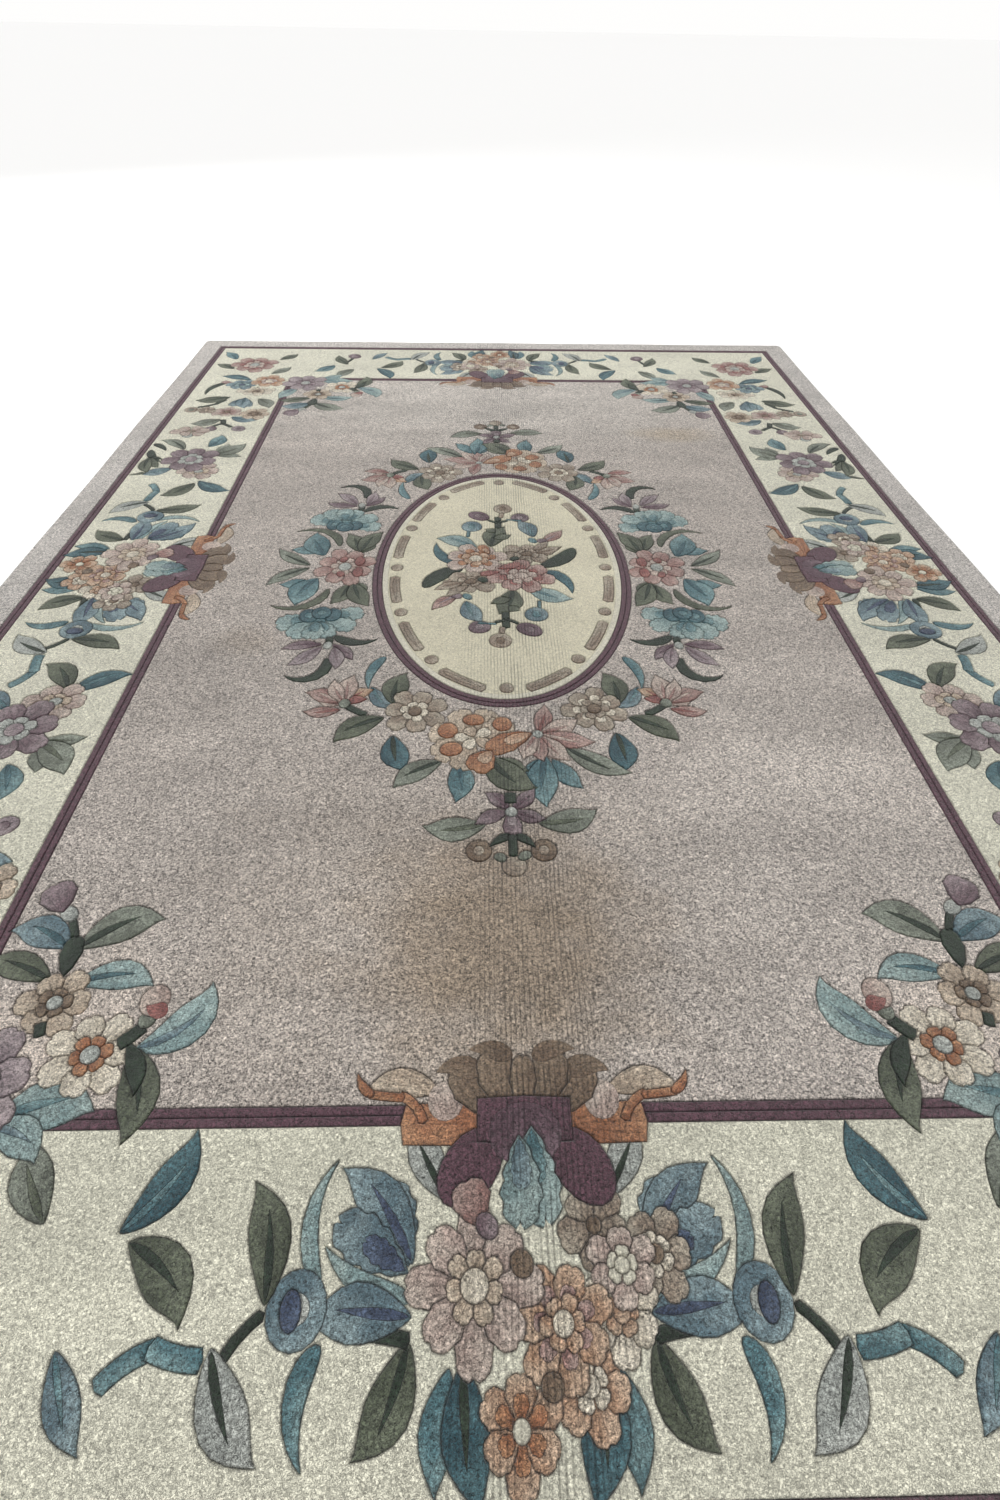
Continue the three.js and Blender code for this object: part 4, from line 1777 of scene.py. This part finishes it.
    def _worn_rows(self) -> None:
        """Knot rows that show as dark lines along the rug's middle."""
        bench = self._group("worn_rows", [], ["Tone", "Height"])
        x = bench.place("X")
        drift = bench.times(bench.noise(self.row_drift), self.row_sway)
        phase = bench.times(bench.plus(x, drift), math.tau / self.row_pitch)
        wave = bench.ramp(bench.math("SINE", phase), (self.row_crest, 1.0), ZERO_TO_ONE)
        reach = (self.rows_core * self.rows_half, self.rows_half)
        strip = bench.ramp(bench.distance(x, self.rows_centre), reach, ONE_TO_ZERO)
        line = bench.times(wave, bench.times(strip, bench.noise(self.row_patches)))
        tone = bench.minus(1.0, bench.times(line, self.row_shade))
        bench.give(Tone=tone, Height=bench.times(line, -self.row_depth))

    def _groove(self) -> None:
        """Painted shade: the pile's colour darkens where it is clipped down into a groove."""
        bench = self._group("groove", ["Shade"], ["Tone"])
        low, high = PILE_TOP - self.shade_depth * GROOVE_DEPTH, PILE_TOP - self.shade_rim
        shade = (bench.given["Shade"], 1.0)
        bench.give(Tone=bench.ramp(bench.place("Z"), (low * MM, high * MM), shade))

    def _stain(self) -> None:
        """The mask of a stain, or of a pale patch of painted light: an oval with a ragged edge."""
        bench = self._group("stain", ["X", "Y", "Reach X", "Reach Y"], ["Mask"])
        squares = []
        for axis in ("X", "Y"):
            off = bench.minus(bench.place(axis), bench.given[axis])
            share = bench.math("DIVIDE", off, bench.given[f"Reach {axis}"])
            squares.append(bench.times(share, share))
        far = bench.math("SQRT", bench.plus(*squares))
        ragged = bench.times(bench.noise(self.stain_or_light_edge), self.stain_or_light_raggedness)
        edge = bench.plus(far, bench.minus(ragged, self.stain_or_light_raggedness / 2.0))
        bench.give(Mask=bench.ramp(edge, self.stain_or_light_fade, ZERO_TO_ONE))


@dataclass(frozen=True)
class StainOrPaintedLight:
    """A stain, or a paler patch such as one of painted light or sheen: its place and reach in metres,
    its tint and its strength.
    """

    x: float
    y: float
    reach_x: float
    reach_y: float
    tint: Colour
    strength: float


STAINS_AND_PAINTED_LIGHT = [
    # Stains.
    StainOrPaintedLight(-0.02, -1.04, 0.26, 0.26, (0.74, 0.66, 0.55), 0.9),
    StainOrPaintedLight(-0.58, -0.32, 0.09, 0.06, (0.72, 0.68, 0.62), 0.6),
    StainOrPaintedLight(0.58, 0.80, 0.16, 0.07, (0.82, 0.74, 0.60), 0.7),
    # A little darker over the near end of the field.
    StainOrPaintedLight(-0.12, -1.00, 0.48, 0.43, (0.95, 0.93, 0.90), 0.9),
    # Painted light: the right-hand side of the field made paler, as if more brightly lit.
    StainOrPaintedLight(0.52, -0.92, 0.44, 0.72, (1.18, 1.19, 1.20), 0.9),
    # Painted sheen: the far end of the field made paler, as pile shines when seen at a slant.
    StainOrPaintedLight(0.00, 1.10, 1.10, 0.50, (1.22, 1.26, 1.27), 0.9),
    # Paler patches by the near corners of the field.
    StainOrPaintedLight(-0.64, -1.20, 0.17, 0.15, (1.28, 1.24, 1.20), 0.9),
    StainOrPaintedLight(0.64, -1.20, 0.17, 0.15, (1.28, 1.24, 1.20), 0.9),
]


def linear(colour: Colour) -> Colour:
    """Turns sRGB steps into linear light."""
    shares = [step / 255.0 for step in colour]
    return tuple(c / 12.92 if c <= 0.04045 else ((c + 0.055) / 1.055) ** 2.4 for c in shares)


@dataclass
class Dyer:
    """Makes the yarns' materials."""

    effects: Effects
    groove_shade: float = 0.66
    lot_spread: float = 0.16
    ribs: float = 2.0
    carved_line_shade: float = 0.3
    bump_distance: float = 0.0011
    bump_strength: float = 0.9
    roughness: float = 0.95
    specular: float = 0.15
    sheen: float = 0.25
    sheen_roughness: float = 0.4
    made: dict[Yarn, bpy.types.Material] = field(default_factory=dict)

    def material(self, yarn: Yarn) -> bpy.types.Material:
        """Makes a yarn's material, but only the first time.

        Args:
            yarn: The yarn.

        Returns:
            Its material.
        """
        if yarn not in self.made:
            self.made[yarn] = self._dyed(yarn)
        return self.made[yarn]

    def _dyed(self, yarn: Yarn) -> bpy.types.Material:
        """Builds a yarn's material from the effects that it needs.

        Args:
            yarn: The yarn.

        Returns:
            Its material.
        """
        finish = yarn.value
        bench = MaterialBench(f"{yarn.name.lower()}_pile")
        tufts = self._effect(bench, "tufts", {"Fleck": finish.fleck})
        abrash = self._effect(bench, "abrash", {"Amount": finish.abrash})
        rows = self._effect(bench, "worn_rows", {})
        # Painted shade: the colour darkens down in the grooves, on top of their real depth.
        groove = self._effect(bench, "groove", {"Shade": self.groove_shade})
        tone = bench.times(tufts["Tone"], abrash["Tone"], rows["Tone"], groove["Tone"])
        dye: object = linear(finish.colour)
        if finish.second is not None:
            # Painted shade: blossom yarns get dark lines that stand for carved lines, which the pile
            # blocks don't cut.
            lines = self.carved_line_shade if finish.slot is Slot.BLOSSOM else 0.0
            given = {"Lines": lines, "Ribs": self.ribs, "Lot": self.lot_spread}
            motif = self._effect(bench, "motif", given)
            second = linear(finish.second)
            dye = bench.blend(motif["Second"], (*dye, 1.0), (*second, 1.0))
            tone = bench.times(tone, motif["Tone"])
        colour = bench.toned(dye, tone)
        # Stains, and the pale patches that paint light and sheen onto the field.
        for stain in STAINS_AND_PAINTED_LIGHT if finish.stain_and_light_share else []:
            colour = self._stained_or_lit(bench, colour, stain, finish.stain_and_light_share)
        height = bench.plus(tufts["Height"], rows["Height"])
        return bench.surface(
            Base_Color=colour,
            Normal=bench.bump(height, self.bump_distance, self.bump_strength),
            Roughness=self.roughness,
            Specular_IOR_Level=self.specular,
            Sheen_Weight=self.sheen,
            Sheen_Roughness=self.sheen_roughness,
        )

    def _effect(
        self, bench: Bench, name: str, inputs: dict[str, object]
    ) -> bpy.types.bpy_prop_collection:
        """Adds one of the shared effects and returns its outputs."""
        return bench.node("Group", inputs, node_tree=self.effects.groups[name]).outputs

    def _stained_or_lit(self, bench: Bench, base: Socket, stain: StainOrPaintedLight, share: float) -> Socket:
        """Tints a colour where a stain, or a pale patch of painted light, lies.

        Args:
            bench: The material's bench.
            base: The colour so far.
            stain: The stain, or the patch of painted light.
            share: How much of it this yarn shows.

        Returns:
            The tinted colour.
        """
        place = {"X": stain.x, "Y": stain.y, "Reach X": stain.reach_x, "Reach Y": stain.reach_y}
        spot = self._effect(bench, "stain", place)
        mask = bench.times(spot["Mask"], stain.strength * share)
        return bench.blend(mask, base, bench.vector("MULTIPLY", base, stain.tint))


@dataclass
class Pile:
    """The carved wool pile: a piece for each part of the pattern and each material slot."""

    carver: Carver
    dyer: Dyer
    sharp_angle: float = 50.0
    lot_step: float = 0.61803
    ground_facts: tuple[float, ...] = (0.0, 0.0, 0.0, Area.STRAIGHT, 1e9, 1e9)

    def build(self) -> list[bpy.types.Object]:
        """Carves the pile and splits it into dressed pieces.

        Returns:
            The pieces.
        """
        pile = self.carver.carve()
        keys = self._mark_pieces(pile)
        whole = linked("pile", lone_mesh(pile, "pile"))
        bpy.context.view_layer.objects.active = whole
        bpy.ops.object.select_all(action="DESELECT")
        whole.select_set(True)
        bpy.ops.mesh.separate(type="MATERIAL")
        made = bpy.context.selected_objects
        for piece in made:
            piece.select_set(False)
        return [self._dress(piece, keys) for piece in made]

    def _mark_pieces(self, pile: bmesh.types.BMesh) -> list[tuple[str, Slot]]:
        """Gives each face the number of its piece.

        Args:
            pile: The pile, whose faces carry the numbers of their areas.

        Returns:
            The pieces' names and slots.
        """
        marks = pile.faces.layers.int["area"]
        keys: list[tuple[str, Slot]] = []
        for face in pile.faces:
            shape = self.carver.shapes[face[marks]]
            key = (shape.piece, shape.yarn.value.slot)
            if key not in keys:
                keys.append(key)
            face.material_index = keys.index(key)
        return keys

    def _dress(self, piece: bpy.types.Object, keys: list[tuple[str, Slot]]) -> bpy.types.Object:
        """Names a piece and gives it its yarns.

        Args:
            piece: The piece.
            keys: The names and slots of all pieces.

        Returns:
            The piece.
        """
        mesh = piece.data
        marks = np.empty(len(mesh.polygons), dtype=np.int32)
        mesh.attributes["area"].data.foreach_get("value", marks)
        mesh.attributes.remove(mesh.attributes["area"])
        shapes = self.carver.shapes
        name, slot = shapes[marks[0]].piece, shapes[marks[0]].yarn.value.slot
        if sum(1 for other, _ in keys if other == name) > 1:
            name = f"{name}_{slot.value.split('_')[0]}"
        piece.name = mesh.name = name
        found = np.unique(marks)
        yarns = sorted({shapes[mark].yarn for mark in found}, key=lambda yarn: yarn.name)
        mesh.materials.clear()
        for yarn in yarns:
            mesh.materials.append(self.dyer.material(yarn))
        indices = np.array([yarns.index(shapes[mark].yarn) for mark in found], dtype=np.int32)
        mesh.polygons.foreach_set("material_index", indices[np.searchsorted(found, marks)])
        self._lay_out(mesh, marks)
        mesh.shade_smooth()
        mesh.set_sharp_from_angle(angle=math.radians(self.sharp_angle))
        weighted = piece.modifiers.new("level tops", "WEIGHTED_NORMAL")
        weighted.keep_sharp = True
        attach(piece, "root")
        LOG.info("%s: %d faces, %d yarns", name, len(mesh.polygons), len(yarns))
        return piece

    def _lay_out(self, mesh: bpy.types.Mesh, marks: np.ndarray) -> None:
        """Gives each area its own pattern space, from foot to tip and from side to side.

        The map holds 0 to 1 along the midrib, and -1 to 1 across it. A ground's is all but flat.
        The lot is the area's own dye lot, from 0 to 1.

        Args:
            mesh: The piece's mesh.
            marks: The number of each face's area.
        """
        shapes = self.carver.shapes
        facts = [s.facts() if isinstance(s, Area) else self.ground_facts for s in shapes]
        corners = np.empty(len(mesh.loops), dtype=np.int32)
        mesh.loops.foreach_get("vertex_index", corners)
        totals = np.empty(len(mesh.polygons), dtype=np.int32)
        mesh.polygons.foreach_get("loop_total", totals)
        places = np.empty(len(mesh.vertices) * 3)
        mesh.vertices.foreach_get("co", places)
        places = places.reshape(-1, 3)[corners] / MM
        x, y, heading, turn, length, half = np.array(facts)[np.repeat(marks, totals)].T
        radius = length / turn
        side = np.sign(radius)
        from_x = places[:, 0] - x + radius * np.sin(heading)
        from_y = places[:, 1] - y - radius * np.cos(heading)
        angle = np.arctan2(side * from_x, -side * from_y) - heading
        angle = (angle + np.pi) % (2.0 * np.pi) - np.pi
        along = angle * radius / length
        across = (radius - side * np.hypot(from_x, from_y)) / half
        layer = mesh.uv_layers.new(name="motif")
        layer.data.foreach_set("uv", np.column_stack((along, across)).ravel())
        lots = mesh.attributes.new("lot", "FLOAT", "FACE")
        lots.data.foreach_set("value", (marks * self.lot_step) % 1.0)


@dataclass
class Foundation:
    """The woven cotton sheet that the tufts are knotted into."""

    inset: float = 3.0
    rounding: float = 1.0
    colour: Colour = (196, 186, 168)
    knot_pitch: Range = (0.0036, 0.0026)
    knot_heights: Range = (0.0, 0.5)
    knot_tones: Range = (0.62, 1.0)
    fading: Noise = Noise((6.0, 9.0, 1.0), 4.0, (0.88, 1.06))
    bump_distance: float = 0.0008
    bump_strength: float = 0.8
    roughness: float = 0.93

    def build(self) -> bpy.types.Object:
        """Builds the sheet and dresses it.

        Returns:
            The sheet.
        """
        edge = Panel(WIDTH / 2.0, LENGTH / 2.0, Yarn.BAND, "foundation", EDGE_WANDER, EDGE_CORNER)
        outline = edge.outline(-self.inset)
        under = edge.outline(-self.inset - self.rounding)
        block = stack([(under, 0.0), (outline, self.rounding), (outline, FOUNDATION_TOP)], 0)
        sheet = linked("foundation", lone_mesh(block, "foundation"))
        sheet.data.attributes.remove(sheet.data.attributes["area"])
        sheet.data.materials.append(self.material())
        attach(sheet, "root")
        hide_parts("rug")
        LOG.info("foundation: %d faces", len(sheet.data.polygons))
        return sheet

    def material(self) -> bpy.types.Material:
        """Makes the knotted back: rows of small bumps, with some change of tone.

        Returns:
            The material.
        """
        bench = MaterialBench("knotted_back")
        bumps = []
        for axis, pitch in zip("XY", self.knot_pitch):
            wave = bench.math("SINE", bench.times(bench.place(axis), math.pi / pitch))
            bumps.append(bench.math("ABSOLUTE", wave))
        height = bench.times(*bumps)
        tone = bench.ramp(height, self.knot_heights, self.knot_tones)
        tone = bench.times(tone, bench.noise(self.fading))
        return bench.surface(
            Base_Color=bench.toned(linear(self.colour), tone),
            Normal=bench.bump(height, self.bump_distance, self.bump_strength),
            Roughness=self.roughness,
        )


@dataclass(frozen=True)
class Lamp:
    """A round soft light that shines on the middle of the rug, in metres and watts."""

    name: str
    place: Triple
    size: float
    power: float


@dataclass
class Studio:
    """The pale floor, the soft lights and the camera."""

    floor_half: float = 80.0
    floor_colour: Colour = (0.96, 0.96, 0.96)
    floor_roughness: float = 0.8
    sky: Colour = (1.0, 0.995, 0.985)
    window: Lamp = Lamp("window", (-2.6, 4.2, 3.4), size=2.0, power=150.0)
    overhead: Lamp = Lamp("overhead", (0.6, -0.6, 4.4), size=3.6, power=10.0)
    camera_place: Triple = (-0.048, -1.558, 0.975)
    pitch: float = 46.74
    yaw: float = 1.73
    roll: float = 1.09
    focal_pixels: float = 693.0
    frame_height: float = 1500.0
    sensor: float = 36.0
    farthest: float = 300.0

    def build(self) -> None:
        """Builds the studio."""
        self._floor()
        self._lights()
        self._camera()
        LOG.info("studio: floor, lights and camera")

    def _floor(self) -> None:
        """Lays a plain near-white floor."""
        bm = bmesh.new()
        bmesh.ops.create_grid(bm, x_segments=1, y_segments=1, size=self.floor_half)
        floor = linked("floor", lone_mesh(bm, "floor"))
        bench = MaterialBench("floor_paint")
        paint = bench.surface(Base_Color=(*self.floor_colour, 1.0), Roughness=self.floor_roughness)
        floor.data.materials.append(paint)

    def _lights(self) -> None:
        """Hangs two soft lights over the rug and lights the air around it evenly."""
        world = bpy.data.worlds.new("studio")
        world.use_nodes = True
        inputs = {"Color": (*self.sky, 1.0), "Strength": 1.0}
        Bench(world.node_tree).fill(world.node_tree.nodes["Background"], inputs)
        bpy.context.scene.world = world
        for lamp in (self.window, self.overhead):
            light = bpy.data.lights.new(lamp.name, "AREA")
            light.shape = "DISK"
            light.size = lamp.size
            light.energy = lamp.power
            hung = linked(lamp.name, light)
            hung.location = lamp.place
            hung.rotation_euler = (-Vector(lamp.place)).to_track_quat("-Z", "Y").to_euler()
        bpy.context.scene.view_settings.view_transform = "Standard"

    def _camera(self) -> None:
        """Sets the camera where the photograph was taken from."""
        pitch, yaw, roll = map(math.radians, (self.pitch, self.yaw, self.roll))
        ahead = Vector((math.sin(yaw), math.cos(yaw), 0.0))
        right = Vector((math.cos(yaw), -math.sin(yaw), 0.0))
        upright = Vector((0.0, 0.0, 1.0))
        look = ahead * math.cos(pitch) - upright * math.sin(pitch)
        top = ahead * math.sin(pitch) + upright * math.cos(pitch)
        side = right * math.cos(roll) + top * math.sin(roll)
        top = top * math.cos(roll) - right * math.sin(roll)
        lens = bpy.data.cameras.new("camera")
        lens.lens = self.focal_pixels / self.frame_height * self.sensor
        lens.sensor_width = self.sensor
        lens.clip_end = self.farthest
        camera = linked("camera", lens)
        turned = Matrix((side, top, -look)).transposed().to_4x4()
        camera.matrix_world = Matrix.Translation(self.camera_place) @ turned
        bpy.context.scene.camera = camera


def main() -> None:
    """Builds the rug and the studio round it."""
    logging.basicConfig(level=logging.INFO, format="%(message)s")
    effects = Effects()
    effects.build()
    shapes: list[Shape] = []
    for part in (Grounds(), Medallion(), Wreath(), Cluster(), Borders(), CornerSprays()):
        drawn = part.shapes()
        LOG.info("%s: %d areas", type(part).__name__, len(drawn))
        shapes += drawn
    pile = Pile(Carver(shapes=shapes), Dyer(effects)).build()
    sheet = Foundation().build()
    Studio().build()


if __name__ == "__main__":
    main()
